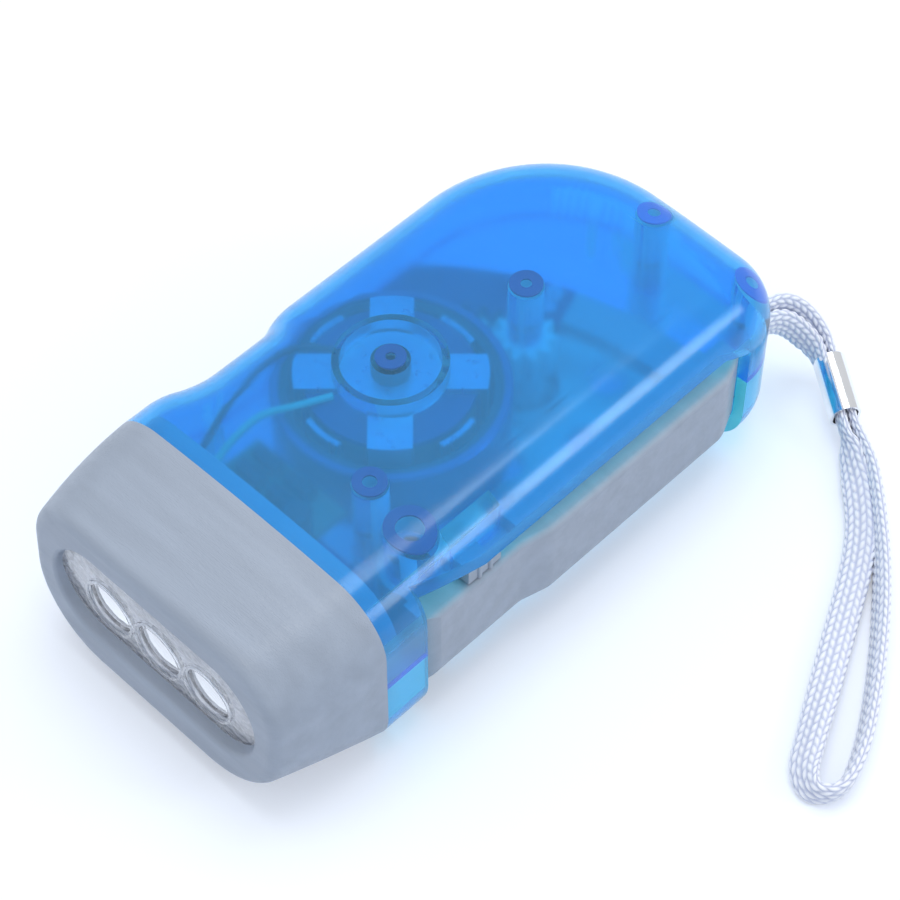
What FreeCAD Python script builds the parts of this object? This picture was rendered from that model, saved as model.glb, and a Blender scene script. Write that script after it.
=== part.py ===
"""A palm-sized torch that is charged by squeezing a side lever.

The beam points along -Y, the lever is on the +X side and the torch lies on its lower shell at z = 0.
Lengths are millimetres and angles are degrees.
"""
import FreeCAD, Part
import math
import os
from FreeCAD import Vector

# Body shells
BODY_HEIGHT = 32.0
WALL = 1.8
EDGE_RADIUS = 9.0
CROWN_RADIUS = 300.0
LEVER_SIDE_X = 24.5
PALM_SIDE_X = -25.0
TAIL_Y = 49.3
SEAM_Y = -31.0
SEAM_RUN_ON = 8.0
SEAM_BITE = 0.05
WAIST_DEPTH = 1.6
HEAD_FLARE = 2.5
SHOULDER_Y = -4.3
SHOULDER_RUN = 3.4
FLARE_Y = -19.6
FLARE_RUN = 5.0
PALM_CORNER_RADIUS = 24.0
CORNER_MARGIN = 0.6
BLEND_RADIUS = 11.0
SHOULDER_RADIUS = 4.0

# Lever window in the side wall
WINDOW_FRONT_Y = -23.7
WINDOW_TAIL_Y = 39.2
WINDOW_SILL = 6.7
WINDOW_DROP = 7.0
WINDOW_FRONT_RISE = 2.6
WINDOW_TAIL_DIP = 2.4
WINDOW_TAIL_RUN = 5.2
WINDOW_FRONT_RUN = 11.0
WINDOW_DEPTH = 4.3
UNDERCUT_ANGLE = 28.0
UNDERCUT_DEPTH = 1.8
UNDERCUT_WALL = 1.4

# Head
FRONT_Y = -49.5
FRONT_LEAN = 4.0
HEAD_WALL = 2.4
HEAD_PALM_TAPER = 2.0
HEAD_LEVER_TAPER = 2.65
HEAD_TOP_TAPER = 3.2
HEAD_MIDDLE_SHARE = 0.3
HEAD_LOW_RADIUS = 12.4
HEAD_EDGE_ROUND = 2.0
LAMP_X = -0.8
MOUTH_RISE = 1.0
MOUTH_HALF_WIDTH = 19.6
MOUTH_HALF_HEIGHT = 8.1
MOUTH_DEPTH = 2.1
MOUTH_EDGE_ROUND = 0.7
LENS_HALF_WIDTH = 18.7
LENS_HALF_HEIGHT = 7.5
LENS_LIP = 0.9
LENS_THICKNESS = 2.0
LENS_DOME_RADIUS = 3.9
LENS_DOME_HEIGHT = 1.1
LENS_RING_WIDTH = 0.35
LENS_RING_HEIGHT = 0.4
SEAT_WALL = 1.6
SEAT_LENGTH = 4.4
SPIGOT_LENGTH = 3.0
SPIGOT_WALL = 1.2
SPIGOT_FIT = 0.1
FIT = 0.05

# Lamps
LED_COUNT = 3
LED_PITCH = 9.4
LED_RADIUS = 2.5
LED_FLANGE_RADIUS = 2.9
LED_FLANGE_THICKNESS = 1.0
LED_BODY_LENGTH = 4.6
LED_LEAD_RADIUS = 0.25
LED_LEAD_PITCH = 2.54
LED_LEAD_END = 0.6
REFLECTOR_DEPTH = 8.0
CUP_RADIUS = 4.3
STANDOFF_RADIUS = 1.6
STANDOFF_X = 14.6
BOARD_GAP = 2.3
BOARD_THICKNESS = 1.4
BOARD_HALF_WIDTH = 17.0
BOARD_HALF_HEIGHT = 8.0

# Lever
PIVOT_X = 16.3
PIVOT_Y = -18.55
PIVOT_PIN_RADIUS = 1.5
PIVOT_PIN_SEAT = 1.6
PIVOT_HUB_RADIUS = 4.4
PIVOT_BOSS_RADIUS = 3.6
SHAFT_CLEARANCE = 0.05
LEVER_GAP = 0.5
HUB_RISE = 2.3
BRIDGE_INSET = 0.4
ROOT_OVERLAP = 0.5
GRIP_INNER_X = 19.5
GRIP_PROUD = 0.7
GRIP_RECESS = 0.5
GRIP_STEP_Y = -5.6
GRIP_STEP_RUN = 4.4
GRIP_FRONT_GAP = 0.3
GRIP_TAIL_GAP = 0.9
GRIP_TAIL_TAPER = 2.0
GRIP_TAIL_RUN = 4.3
GRIP_NOSE_RADIUS = 8.0
GRIP_SKIN = 2.3
GRIP_LOWER_ROUND = 2.6
GRIP_UPPER_ROUND = 0.9
LEDGE_DROP = 3.2
STEP_REACH = 2.7
STEP_FRONT_Y = -5.7
STEP_TAIL_Y = 33.0
POCKET_FRONT_Y = 0.0
POCKET_TAIL_Y = 35.4
POCKET_WALL = 2.0
LEVER_SWING = 22.0

# Gear train
SECTOR_TEETH = 118
SECTOR_PINION_TEETH = 10
SECTOR_MODULE = 0.8
DRIVE_GEAR_TEETH = 62
FLYWHEEL_PINION_TEETH = 12
DRIVE_MODULE = 0.6
TOOTH_TIP = 0.85
TOOTH_ROOT = 1.15
SECTOR_THICKNESS = 2.6
SECTOR_DROP = 0.8
SECTOR_RIM = 6.88
SECTOR_WEB_SETBACK = 0.88
SECTOR_WALL_GAP = 0.9
SECTOR_MARGINS = (3.84, 4.992)
WEB_START = 84.5
LAP_ANGLE = 6.0
LAP_GAP_ANGLE = 0.3
RIVET_RADIUS = 0.9
RIVET_HEAD = 0.5
GEAR_FLOOR_GAP = 2.4
DRIVE_GEAR_THICKNESS = 2.6
DRIVE_GEAR_HUB_RADIUS = 6.2
DRIVE_GEAR_HOLES = 6
DRIVE_GEAR_HOLE_RADIUS = 3.0
RATCHET_HEIGHT = 2.2
RATCHET_RADIUS = 3.9
RATCHET_TEETH = 8
RATCHET_TOOTH = 0.8
RATCHET_CUP_RADIUS = 5.2
PAWL_WIDTH = 0.5
PAWL_DROP = 0.6
PAWL_COUNT = 2
PAWL_START = 6.0
PAWL_SPREAD = (18.0, 26.0)
PAWL_TIP = (-0.5, 0.1)
PINION_SLEEVE_RADIUS = 2.6
PINION_OVERHANG = 0.6
PINION_CAP = 2.0
GEAR_AXLE_RADIUS = 1.0
AXLE_SEAT = 0.8
RUNNING_GAP = 0.4

# Generator
AXLE_X = -5.0
AXLE_Y = -0.75
AXLE_RADIUS = 1.0
AXLE_BOSS_RADIUS = 2.7
LOCATING_RING_RADIUS = 7.9
LOCATING_RING_WALL = 1.0
STATOR_DROP = 2.6
CLAW_THICKNESS = 1.0
AIR_GAP = 0.7
CLAW_ARM_WIDTH = 6.0
CLAW_HUB_RADIUS = 7.0
CLAW_FINGER_THICKNESS = 0.8
CLAW_FINGER_GAP = 0.8
CLAW_ANGLE = 44.4
CLAW_ARMS = 4
BOBBIN_HEIGHT = 9.0
BOBBIN_CLEARANCE = 0.6
BOBBIN_FLANGE = 0.8
BOBBIN_TUBE_RADIUS = 3.6
BOBBIN_BORE_RADIUS = 2.0
WINDING_DROP = 0.6
ROTOR_RADIUS = 16.4
ROTOR_RIM = 1.2
ROTOR_FLOOR = 1.8
ROTOR_GAP = 1.2
ROTOR_TOP_DROP = 2.4
MAGNET_THICKNESS = 1.3
MAGNET_MARGIN = 0.6
ROTOR_SLEEVE_RADIUS = 2.2

# Spring and lock
SPRING_WIRE_RADIUS = 0.4
SPRING_COIL_RADIUS = 2.6
SPRING_TURNS = 4
SPRING_STEP = 40.0
SPRING_LEG = 17.0
SPRING_SLACK = 0.5
LOCK_LENGTH = 6.0
LOCK_TRAVEL = 4.5
LOCK_OVERLAP = 1.0
LOCK_HOOK_LENGTH = 2.0
LOCK_STEM_LENGTH = 2.4
LOCK_STEM_SETBACK = 0.5
LOCK_STEM_HEIGHT = 0.8
LOCK_RAIL_X = 18.4
LOCK_RAIL_WIDTH = 1.9
LOCK_RAIL_END = 0.8
LOCK_HEAD = 0.8
LOCK_RECESS = 1.0
LOCK_RIDGES = 2
LOCK_RIDGE_SHARE = 0.35

# Screws and their bosses
SCREWS = {"front": (7.7, -17.15), "tail_middle": (2.6, 42.95), "tail_corner": (19.3, 44.25)}
UPPER_BOSS_RADIUS = 2.5
LOWER_BOSS_RADIUS = 2.75
SCREW_RADIUS = 1.0
SCREW_HEAD_RADIUS = 1.8
SCREW_HEAD_HEIGHT = 1.3
SCREW_RECESS = 6.5
SCREW_LENGTH = 14.0
SCREW_HOLE_RADIUS = 1.2
SCREW_SLOT_WIDTH = 0.5
SCREW_SLOT_SHARE = 0.6

# Cells and wiring
CELL_COUNT = 4
CELL_RADIUS = 5.8
CELL_LENGTH = 5.6
CELL_Y = -26.2
CELL_Z = 13.6
CELL_START_X = -13.6
CELL_TAB = 0.4
CELL_TAB_WIDTH = 3.0
CELL_TAB_DROP = 2.0
CELL_GROOVE = (0.5, 0.3)
CRADLE_WIDTH = 2.0
CRADLE_INSET = 4.0
RECTIFIER_LENGTH = 17.0
RECTIFIER_WIDTH = 9.0
RECTIFIER_THICKNESS = 1.2
DIODE_RADIUS = 1.2
DIODE_LENGTH = 4.4
DIODE_PITCH = 6.0
DIODE_ROW_PITCH = 3.12
DIODE_INSET = (2.2, 2.0)
CAPACITOR_RADIUS = 2.0
CAPACITOR_HEIGHT = 4.5
CAPACITOR_INSET = (0.2, 0.4)
WIRE_RADIUS = 0.5

# Wrist strap
STRAP_TUBE_RADIUS = 0.7
STRAP_SLOT_WIDTH = 3.4
STRAP_SLOT_HEIGHT = 5.6
STRAP_X = 18.2
FERRULE_HALF_WIDTH = 2.2
FERRULE_HALF_HEIGHT = 2.75
FERRULE_WALL = 0.4
FERRULE_LENGTH = 9.2
FERRULE_RUNS = ((3, -5), (4, -6))
STRAP_ROUTE = [
    (18.2, 47.2, 14.5), (18.4, 51.4, 14.0), (20.6, 55.2, 10.4), (24.4, 57.2, 6.1), (33.5, 51.2, 4.1),
    (37.6, 48.6, 2.8), (41.5, 45.3, 1.9), (46.1, 40.7, 1.4), (50.4, 34.0, 1.3), (54.8, 25.3, 1.4),
    (59.3, 16.5, 1.7), (63.2, 8.9, 2.2), (65.6, 4.1, 2.4), (69.0, 2.2, 2.4), (71.6, 5.2, 2.4),
    (69.6, 11.4, 2.4), (65.4, 18.9, 2.4), (60.0, 27.1, 2.4), (54.2, 34.9, 2.4), (48.3, 41.7, 2.4),
    (42.2, 47.7, 2.8), (38.3, 50.4, 3.3), (34.3, 52.4, 4.0), (25.2, 58.5, 6.2), (21.6, 57.8, 10.6),
    (19.2, 55.0, 15.2), (18.4, 51.4, 17.2), (18.2, 47.2, 17.5),
]

# Places that follow from the sizes above
SPLIT_Z = BODY_HEIGHT / 2
ROOF_Z = BODY_HEIGHT - WALL
LAMP_Z = SPLIT_Z
MOUTH_Z = LAMP_Z + MOUTH_RISE
LENS_Y = FRONT_Y + MOUTH_DEPTH
WAIST_X = PALM_SIDE_X + WAIST_DEPTH
HEAD_SIDE_X = WAIST_X - HEAD_FLARE
TAIL_CORNER_RADIUS = EDGE_RADIUS + CORNER_MARGIN
WINDOW_HEAD_Z = BODY_HEIGHT - WINDOW_DROP
LEDGE_Z = WINDOW_HEAD_Z - LEDGE_DROP
STEP_Z = WINDOW_HEAD_Z - LEVER_GAP
GRIP_LOW_Z = WINDOW_SILL + LEVER_GAP
HUB_LOW_Z = GRIP_LOW_Z + HUB_RISE
HUB_TOP_Z = LEDGE_Z
SECTOR_LOW_Z = SPLIT_Z - SECTOR_DROP
SECTOR_TOP_Z = SECTOR_LOW_Z + SECTOR_THICKNESS
LAP_Z = SECTOR_LOW_Z + SECTOR_THICKNESS / 2
PINION_LOW_Z = SECTOR_LOW_Z - PINION_OVERHANG
PINION_TOP_Z = SECTOR_TOP_Z + PINION_CAP
DRIVE_LOW_Z = WALL + GEAR_FLOOR_GAP
DRIVE_TOP_Z = DRIVE_LOW_Z + DRIVE_GEAR_THICKNESS
RATCHET_TOP_Z = DRIVE_TOP_Z + RATCHET_HEIGHT
STATOR_TOP_Z = ROOF_Z - STATOR_DROP
BOBBIN_TOP_Z = STATOR_TOP_Z - CLAW_THICKNESS
BOBBIN_LOW_Z = BOBBIN_TOP_Z - BOBBIN_HEIGHT
LOWER_CLAW_Z = BOBBIN_LOW_Z - CLAW_THICKNESS
ROTOR_FLOOR_TOP_Z = LOWER_CLAW_Z - ROTOR_GAP
ROTOR_LOW_Z = ROTOR_FLOOR_TOP_Z - ROTOR_FLOOR
ROTOR_TOP_Z = STATOR_TOP_Z - ROTOR_TOP_DROP
LENS_BACK_Y = LENS_Y + LENS_THICKNESS
REFLECTOR_BACK_Y = LENS_BACK_Y + REFLECTOR_DEPTH
BOARD_Y = REFLECTOR_BACK_Y + BOARD_GAP
SCREW_SEAT_Z = SCREW_RECESS
CELL_END_X = CELL_START_X + CELL_COUNT * CELL_LENGTH
CLAW_RADIUS = ROTOR_RADIUS - ROTOR_RIM - MAGNET_THICKNESS - AIR_GAP
BOBBIN_RADIUS = CLAW_RADIUS - CLAW_FINGER_THICKNESS - BOBBIN_CLEARANCE
WINDING_RADIUS = BOBBIN_RADIUS - WINDING_DROP
LOCK_Y = STEP_FRONT_Y + LOCK_OVERLAP - LOCK_TRAVEL - LOCK_LENGTH


def axle_distance(module, first_teeth, second_teeth):
    """Distance between the axles of two meshed gears, with a negative count for an internal gear."""
    return module * abs(first_teeth + second_teeth) / 2


def gear_axle_place():
    """The axle that is one mesh from the lever pivot and one mesh from the flywheel axle."""
    from_pivot = axle_distance(SECTOR_MODULE, -SECTOR_TEETH, SECTOR_PINION_TEETH)
    from_flywheel = axle_distance(DRIVE_MODULE, DRIVE_GEAR_TEETH, FLYWHEEL_PINION_TEETH)
    across = math.hypot(PIVOT_X - AXLE_X, PIVOT_Y - AXLE_Y)
    along = (across ** 2 + from_flywheel ** 2 - from_pivot ** 2) / (2 * across)
    aside = math.sqrt(from_flywheel ** 2 - along ** 2)
    unit_x = (PIVOT_X - AXLE_X) / across
    unit_y = (PIVOT_Y - AXLE_Y) / across
    return AXLE_X + unit_x * along - unit_y * aside, AXLE_Y + unit_y * along + unit_x * aside


GEAR_X, GEAR_Y = gear_axle_place()
SECTOR_PITCH_RADIUS = SECTOR_MODULE * SECTOR_TEETH / 2
SECTOR_ROOT_RADIUS = SECTOR_PITCH_RADIUS + TOOTH_ROOT * SECTOR_MODULE
SECTOR_OUTER_RADIUS = SECTOR_ROOT_RADIUS + SECTOR_RIM
SECTOR_WEB_INNER_RADIUS = SECTOR_ROOT_RADIUS + SECTOR_WEB_SETBACK
MESH_ANGLE = math.degrees(math.atan2(GEAR_Y - PIVOT_Y, GEAR_X - PIVOT_X))
DRIVE_MESH_ANGLE = math.degrees(math.atan2(AXLE_Y - GEAR_Y, AXLE_X - GEAR_X))
SECTOR_START = MESH_ANGLE - SECTOR_MARGINS[0]
SECTOR_END = MESH_ANGLE + LEVER_SWING + SECTOR_MARGINS[1]


def cylinder(x, y, low, high, radius):
    return Part.makeCylinder(radius, high - low, Vector(x, y, low))


def ring(x, y, low, high, outer, inner):
    return cylinder(x, y, low, high, outer).cut(cylinder(x, y, low, high, inner))


def block(x_range, y_range, z_range):
    size = [high - low for low, high in (x_range, y_range, z_range)]
    return Part.makeBox(*size, Vector(x_range[0], y_range[0], z_range[0]))


def prism(points, low, high):
    """A straight-sided solid over a polygon in plan."""
    corners = [Vector(x, y, low) for x, y in points]
    wire = Part.makePolygon(corners + corners[:1])
    return Part.Face(wire).extrude(Vector(0, 0, high - low))


def polar(x, y, radius, angle):
    return x + radius * math.cos(math.radians(angle)), y + radius * math.sin(math.radians(angle))


def rounded_wire(corners):
    """A closed wire through (x, y, radius) corners, with an arc at each corner that has a radius."""
    turns = []
    for index, (x, y, radius) in enumerate(corners):
        here = Vector(x, y, 0)
        before = Vector(*corners[index - 1][:2], 0)
        after = Vector(*corners[(index + 1) % len(corners)][:2], 0)
        if radius == 0:
            turns.append((here, here, here))
            continue
        back = (before - here).normalize()
        ahead = (after - here).normalize()
        half = back.getAngle(ahead) / 2
        run = radius / math.tan(half)
        inward = (back + ahead).normalize()
        centre = here + inward * (radius / math.sin(half))
        turns.append((here + back * run, centre - inward * radius, here + ahead * run))
    edges = []
    for index, (start, middle, end) in enumerate(turns):
        following = turns[(index + 1) % len(turns)][0]
        if (end - start).Length > 1e-6:
            edges.append(Part.Arc(start, middle, end).toShape())
        if (following - end).Length > 1e-6:
            edges.append(Part.LineSegment(end, following).toShape())
    return Part.Wire(edges)


def plan_wire():
    """Outline of the body seen from above, carried a little past the seam."""
    past_seam = SEAM_Y - SEAM_RUN_ON
    return rounded_wire([
        (LEVER_SIDE_X, past_seam, 0),
        (LEVER_SIDE_X, TAIL_Y, TAIL_CORNER_RADIUS),
        (PALM_SIDE_X, TAIL_Y, PALM_CORNER_RADIUS),
        (PALM_SIDE_X, SHOULDER_Y, BLEND_RADIUS),
        (WAIST_X, SHOULDER_Y - SHOULDER_RUN, SHOULDER_RADIUS),
        (WAIST_X, FLARE_Y, BLEND_RADIUS),
        (HEAD_SIDE_X, FLARE_Y - FLARE_RUN, BLEND_RADIUS),
        (HEAD_SIDE_X, past_seam, 0),
    ])


def pillow(inset):
    """The crowned, round-edged form of the body, taken in by inset on every side."""
    outline = plan_wire()
    if inset:
        outline = outline.makeOffset2D(-inset)
    outline.translate(Vector(0, 0, inset))
    solid = Part.Face(outline).extrude(Vector(0, 0, BODY_HEIGHT - 2 * inset))
    span = TAIL_Y - FRONT_Y
    crown = Part.makeCylinder(
        CROWN_RADIUS - inset, 2 * span, Vector(0, -span, BODY_HEIGHT - CROWN_RADIUS), Vector(0, 1, 0))
    solid = solid.common(crown).Solids[0]
    cut_end = SEAM_Y - SEAM_RUN_ON + inset + 0.1
    rims = [
        edge for edge in solid.Edges
        if (edge.BoundBox.ZMin > SPLIT_Z or edge.BoundBox.ZMax < SPLIT_Z) and edge.BoundBox.YMax > cut_end
    ]
    return solid.makeFillet(EDGE_RADIUS - inset, rims)


FAR = 4 * BODY_HEIGHT
OUTER_FORM = pillow(0)
INNER_FORM = pillow(WALL)


def outer_form():
    return OUTER_FORM.copy()


def window_cut():
    """The opening in the lever side, higher at the head and with a sloping tail corner."""
    head_front = WINDOW_FRONT_Y + WINDOW_FRONT_RUN
    profile = [
        (WINDOW_FRONT_Y, WINDOW_SILL),
        (WINDOW_TAIL_Y, WINDOW_SILL),
        (WINDOW_TAIL_Y, WINDOW_HEAD_Z - WINDOW_TAIL_DIP),
        (WINDOW_TAIL_Y - WINDOW_TAIL_RUN, WINDOW_HEAD_Z),
        (head_front, WINDOW_HEAD_Z),
        (WINDOW_FRONT_Y, WINDOW_HEAD_Z + WINDOW_FRONT_RISE),
    ]
    corners = [Vector(LEVER_SIDE_X - WINDOW_DEPTH, y, z) for y, z in profile]
    face = Part.Face(Part.makePolygon(corners + corners[:1]))
    return face.extrude(Vector(2 * WINDOW_DEPTH, 0, 0))


def strap_slot_cut():
    low = SPLIT_Z - STRAP_SLOT_HEIGHT / 2
    half = STRAP_SLOT_WIDTH / 2
    return block((STRAP_X - half, STRAP_X + half), (TAIL_Y - 3 * WALL, TAIL_Y + WALL),
                 (low, low + STRAP_SLOT_HEIGHT))


def below_lever(depth, run_on):
    """What lies outside a slanting plane under the lever, by its depth below the body's rounded edge."""
    angle = math.radians(UNDERCUT_ANGLE)
    outward = Vector(math.cos(angle), 0, -math.sin(angle))
    upward = Vector(math.sin(angle), 0, math.cos(angle)) * (2 * EDGE_RADIUS)
    on_plane = Vector(LEVER_SIDE_X - EDGE_RADIUS, WINDOW_FRONT_Y - run_on, EDGE_RADIUS)
    on_plane += outward * (EDGE_RADIUS - depth)
    beyond = outward * (2 * EDGE_RADIUS)
    corners = [on_plane - upward, on_plane + upward, on_plane + upward + beyond, on_plane - upward + beyond]
    face = Part.Face(Part.makePolygon(corners + corners[:1]))
    return face.extrude(Vector(0, WINDOW_TAIL_Y - WINDOW_FRONT_Y + 2 * run_on, 0))


def shell_half(low, high, hollow):
    half = outer_form().common(block((-FAR, FAR), (SEAM_Y, FAR), (low, high)))
    return half.cut(hollow).cut(window_cut()).cut(strap_slot_cut())


def to_roof(x, y, low, radius):
    return cylinder(x, y, low, BODY_HEIGHT + WALL, radius).common(outer_form())


def to_floor(x, y, high, radius):
    return cylinder(x, y, -WALL, high, radius).common(outer_form())


def lock_rail():
    """The bar under the roof that the lock's stem slides in."""
    x_range = (LOCK_RAIL_X, LOCK_RAIL_X + LOCK_RAIL_WIDTH)
    slot_y = (lock_stem_range()[0] - RUNNING_GAP, lock_stem_range()[1] + LOCK_TRAVEL + RUNNING_GAP)
    rail = block(x_range, (slot_y[0] - LOCK_RAIL_END, slot_y[1] + LOCK_RAIL_END),
                 (LEDGE_Z + RUNNING_GAP, BODY_HEIGHT)).common(outer_form())
    low, high = lock_stem_levels()
    slot = block((x_range[0] - 1, x_range[1] + 1), slot_y, (low - SHAFT_CLEARANCE, high + SHAFT_CLEARANCE))
    return rail.cut(slot)


def lock_stem_levels():
    middle = (LEDGE_Z + WINDOW_HEAD_Z) / 2 + LOCK_HEAD / 2
    return middle - LOCK_STEM_HEIGHT / 2, middle + LOCK_STEM_HEIGHT / 2


def lock_stem_range():
    start = LOCK_Y + LOCK_STEM_SETBACK
    return start, start + LOCK_STEM_LENGTH


def upper_shell():
    solid = shell_half(SPLIT_Z, BODY_HEIGHT + WALL, INNER_FORM.copy())
    for x, y in SCREWS.values():
        solid = solid.fuse(to_roof(x, y, SPLIT_Z, UPPER_BOSS_RADIUS))
    solid = solid.fuse(to_roof(PIVOT_X, PIVOT_Y, HUB_TOP_Z + RUNNING_GAP, PIVOT_BOSS_RADIUS))
    solid = solid.fuse(to_roof(GEAR_X, GEAR_Y, PINION_TOP_Z + RUNNING_GAP, UPPER_BOSS_RADIUS))
    solid = solid.fuse(to_roof(AXLE_X, AXLE_Y, STATOR_TOP_Z, AXLE_BOSS_RADIUS))
    locating = to_roof(AXLE_X, AXLE_Y, STATOR_TOP_Z, LOCATING_RING_RADIUS)
    inside = cylinder(AXLE_X, AXLE_Y, STATOR_TOP_Z, ROOF_Z, LOCATING_RING_RADIUS - LOCATING_RING_WALL)
    locating = locating.cut(inside.cut(cylinder(AXLE_X, AXLE_Y, 0, BODY_HEIGHT, AXLE_BOSS_RADIUS)))
    solid = solid.fuse(locating).fuse(lock_rail())
    for x, y in SCREWS.values():
        solid = solid.cut(cylinder(x, y, 0, SCREW_SEAT_Z + SCREW_LENGTH, SCREW_RADIUS))
    solid = solid.cut(cylinder(PIVOT_X, PIVOT_Y, 0, pivot_pin_top(), PIVOT_PIN_RADIUS))
    solid = solid.cut(cylinder(GEAR_X, GEAR_Y, 0, gear_axle_top(), GEAR_AXLE_RADIUS))
    return solid.cut(cylinder(AXLE_X, AXLE_Y, 0, flywheel_axle_top(), AXLE_RADIUS)).removeSplitter()


def pivot_pin_top():
    return HUB_TOP_Z + RUNNING_GAP + 2 * PIVOT_PIN_SEAT


def gear_axle_top():
    return PINION_TOP_Z + RUNNING_GAP + 3 * AXLE_SEAT


def flywheel_axle_top():
    return STATOR_TOP_Z + 2 * AXLE_SEAT


def cradle():
    """Two ribs on the floor that hold the cell pack."""
    ribs = []
    for x in (CELL_START_X + CRADLE_INSET, CELL_END_X - CRADLE_INSET):
        rib = block((x - CRADLE_WIDTH / 2, x + CRADLE_WIDTH / 2),
                    (SEAM_Y + SPIGOT_LENGTH + RUNNING_GAP, CELL_Y + CELL_RADIUS), (WALL / 2, CELL_Z))
        ribs.append(rib.cut(cell_form(CELL_RADIUS + CELL_TAB)))
    return ribs


def cell_form(radius):
    return Part.makeCylinder(
        radius, CELL_COUNT * CELL_LENGTH, Vector(CELL_START_X, CELL_Y, CELL_Z), Vector(1, 0, 0))


def lower_shell():
    wall_under_lever = below_lever(UNDERCUT_DEPTH + UNDERCUT_WALL, WALL).common(
        block((-FAR, FAR), (-FAR, FAR), (-FAR, WINDOW_SILL)))
    hollow = INNER_FORM.cut(wall_under_lever)
    solid = shell_half(-WALL, SPLIT_Z, hollow).cut(below_lever(UNDERCUT_DEPTH, 0))
    for x, y in SCREWS.values():
        solid = solid.fuse(to_floor(x, y, SPLIT_Z, LOWER_BOSS_RADIUS))
    solid = solid.fuse(to_floor(PIVOT_X, PIVOT_Y, spring_low(), PIVOT_BOSS_RADIUS))
    solid = solid.fuse(to_floor(GEAR_X, GEAR_Y, DRIVE_LOW_Z - RUNNING_GAP, AXLE_BOSS_RADIUS))
    solid = solid.fuse(to_floor(AXLE_X, AXLE_Y, DRIVE_LOW_Z - 2 * RUNNING_GAP, AXLE_BOSS_RADIUS))
    for rib in cradle():
        solid = solid.fuse(rib.common(outer_form()))
    for x, y in SCREWS.values():
        solid = solid.cut(cylinder(x, y, -WALL, SPLIT_Z + WALL, SCREW_HOLE_RADIUS))
        solid = solid.cut(cylinder(x, y, -WALL, SCREW_SEAT_Z, SCREW_HEAD_RADIUS + FIT))
    solid = solid.cut(cylinder(PIVOT_X, PIVOT_Y, WALL / 2, SPLIT_Z, PIVOT_PIN_RADIUS))
    solid = solid.cut(cylinder(GEAR_X, GEAR_Y, WALL / 2, SPLIT_Z, GEAR_AXLE_RADIUS))
    return solid.cut(cylinder(AXLE_X, AXLE_Y, WALL / 2, SPLIT_Z, AXLE_RADIUS)).removeSplitter()


def head_wire(y, inset, taper_share, low_radius):
    """Section of the head at one station: four straight sides and four round corners."""
    left = HEAD_SIDE_X + HEAD_PALM_TAPER * taper_share + inset
    right = LEVER_SIDE_X - HEAD_LEVER_TAPER * taper_share - inset
    top_taper = HEAD_TOP_TAPER * taper_share
    low = top_taper + inset
    crown = CROWN_RADIUS - inset
    radius = EDGE_RADIUS - inset
    foot = low_radius - inset
    crown_centre = BODY_HEIGHT - top_taper - CROWN_RADIUS

    def upper_corner(centre_x):
        centre_z = crown_centre + math.sqrt((crown - radius) ** 2 - centre_x ** 2)
        reach = crown / (crown - radius)
        touch = Vector(centre_x * reach, y, crown_centre + (centre_z - crown_centre) * reach)
        return centre_z, touch

    def corner(centre, reach, start, end, side, rise):
        diagonal = reach * math.sqrt(0.5)
        middle = Vector(centre[0] + side * diagonal, y, centre[1] + rise * diagonal)
        return Part.Arc(start, middle, end).toShape()

    right_z, right_touch = upper_corner(right - radius)
    left_z, left_touch = upper_corner(left + radius)
    right_side = Vector(right, y, right_z)
    left_side = Vector(left, y, left_z)
    right_low = Vector(right, y, low + foot)
    left_low = Vector(left, y, low + foot)
    right_foot = Vector(right - foot, y, low)
    left_foot = Vector(left + foot, y, low)
    edges = [
        Part.Arc(left_touch, Vector(0, y, crown_centre + crown), right_touch).toShape(),
        corner((right - radius, right_z), radius, right_touch, right_side, 1, 1),
        Part.LineSegment(right_side, right_low).toShape(),
        corner((right - foot, low + foot), foot, right_low, right_foot, 1, -1),
        Part.LineSegment(right_foot, left_foot).toShape(),
        corner((left + foot, low + foot), foot, left_foot, left_low, -1, -1),
        Part.LineSegment(left_low, left_side).toShape(),
        corner((left + radius, left_z), radius, left_side, left_touch, -1, 1),
    ]
    return Part.Wire(edges)


def front_at(z):
    """The front face leans back a little; its foot is the foremost place."""
    return FRONT_Y + (z - HEAD_TOP_TAPER) * math.tan(math.radians(FRONT_LEAN))


def head_form(inset, setback):
    """The tapering form of the head, from the seam to setback behind the front face."""
    middle_y = (SEAM_Y + FRONT_Y) / 2
    stations = [
        head_wire(SEAM_Y, inset, 0, EDGE_RADIUS),
        head_wire(middle_y, inset, HEAD_MIDDLE_SHARE, HEAD_LOW_RADIUS),
        head_wire(FRONT_Y, inset, 1, HEAD_LOW_RADIUS),
    ]
    solid = Part.makeLoft(stations, True, False)
    corners = [
        Vector(-FAR, front_at(-FAR) + setback, -FAR), Vector(-FAR, front_at(FAR) + setback, FAR),
        Vector(-FAR, SEAM_Y, FAR), Vector(-FAR, SEAM_Y, -FAR),
    ]
    return solid.common(Part.Face(Part.makePolygon(corners + corners[:1])).extrude(Vector(2 * FAR, 0, 0)))


def mouth_wire(y, half_width, half_height):
    """A round-ended slot outline across the front."""
    flat = half_width - half_height
    x_left = LAMP_X - flat
    x_right = LAMP_X + flat
    low = MOUTH_Z - half_height
    high = MOUTH_Z + half_height
    return Part.Wire([
        Part.LineSegment(Vector(x_left, y, high), Vector(x_right, y, high)).toShape(),
        Part.Arc(Vector(x_right, y, high), Vector(x_right + half_height, y, MOUTH_Z),
                 Vector(x_right, y, low)).toShape(),
        Part.LineSegment(Vector(x_right, y, low), Vector(x_left, y, low)).toShape(),
        Part.Arc(Vector(x_left, y, low), Vector(x_left - half_height, y, MOUTH_Z),
                 Vector(x_left, y, high)).toShape(),
    ])


def slot_prism(start_y, end_y, half_width, half_height):
    return Part.Face(mouth_wire(start_y, half_width, half_height)).extrude(Vector(0, end_y - start_y, 0))


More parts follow.
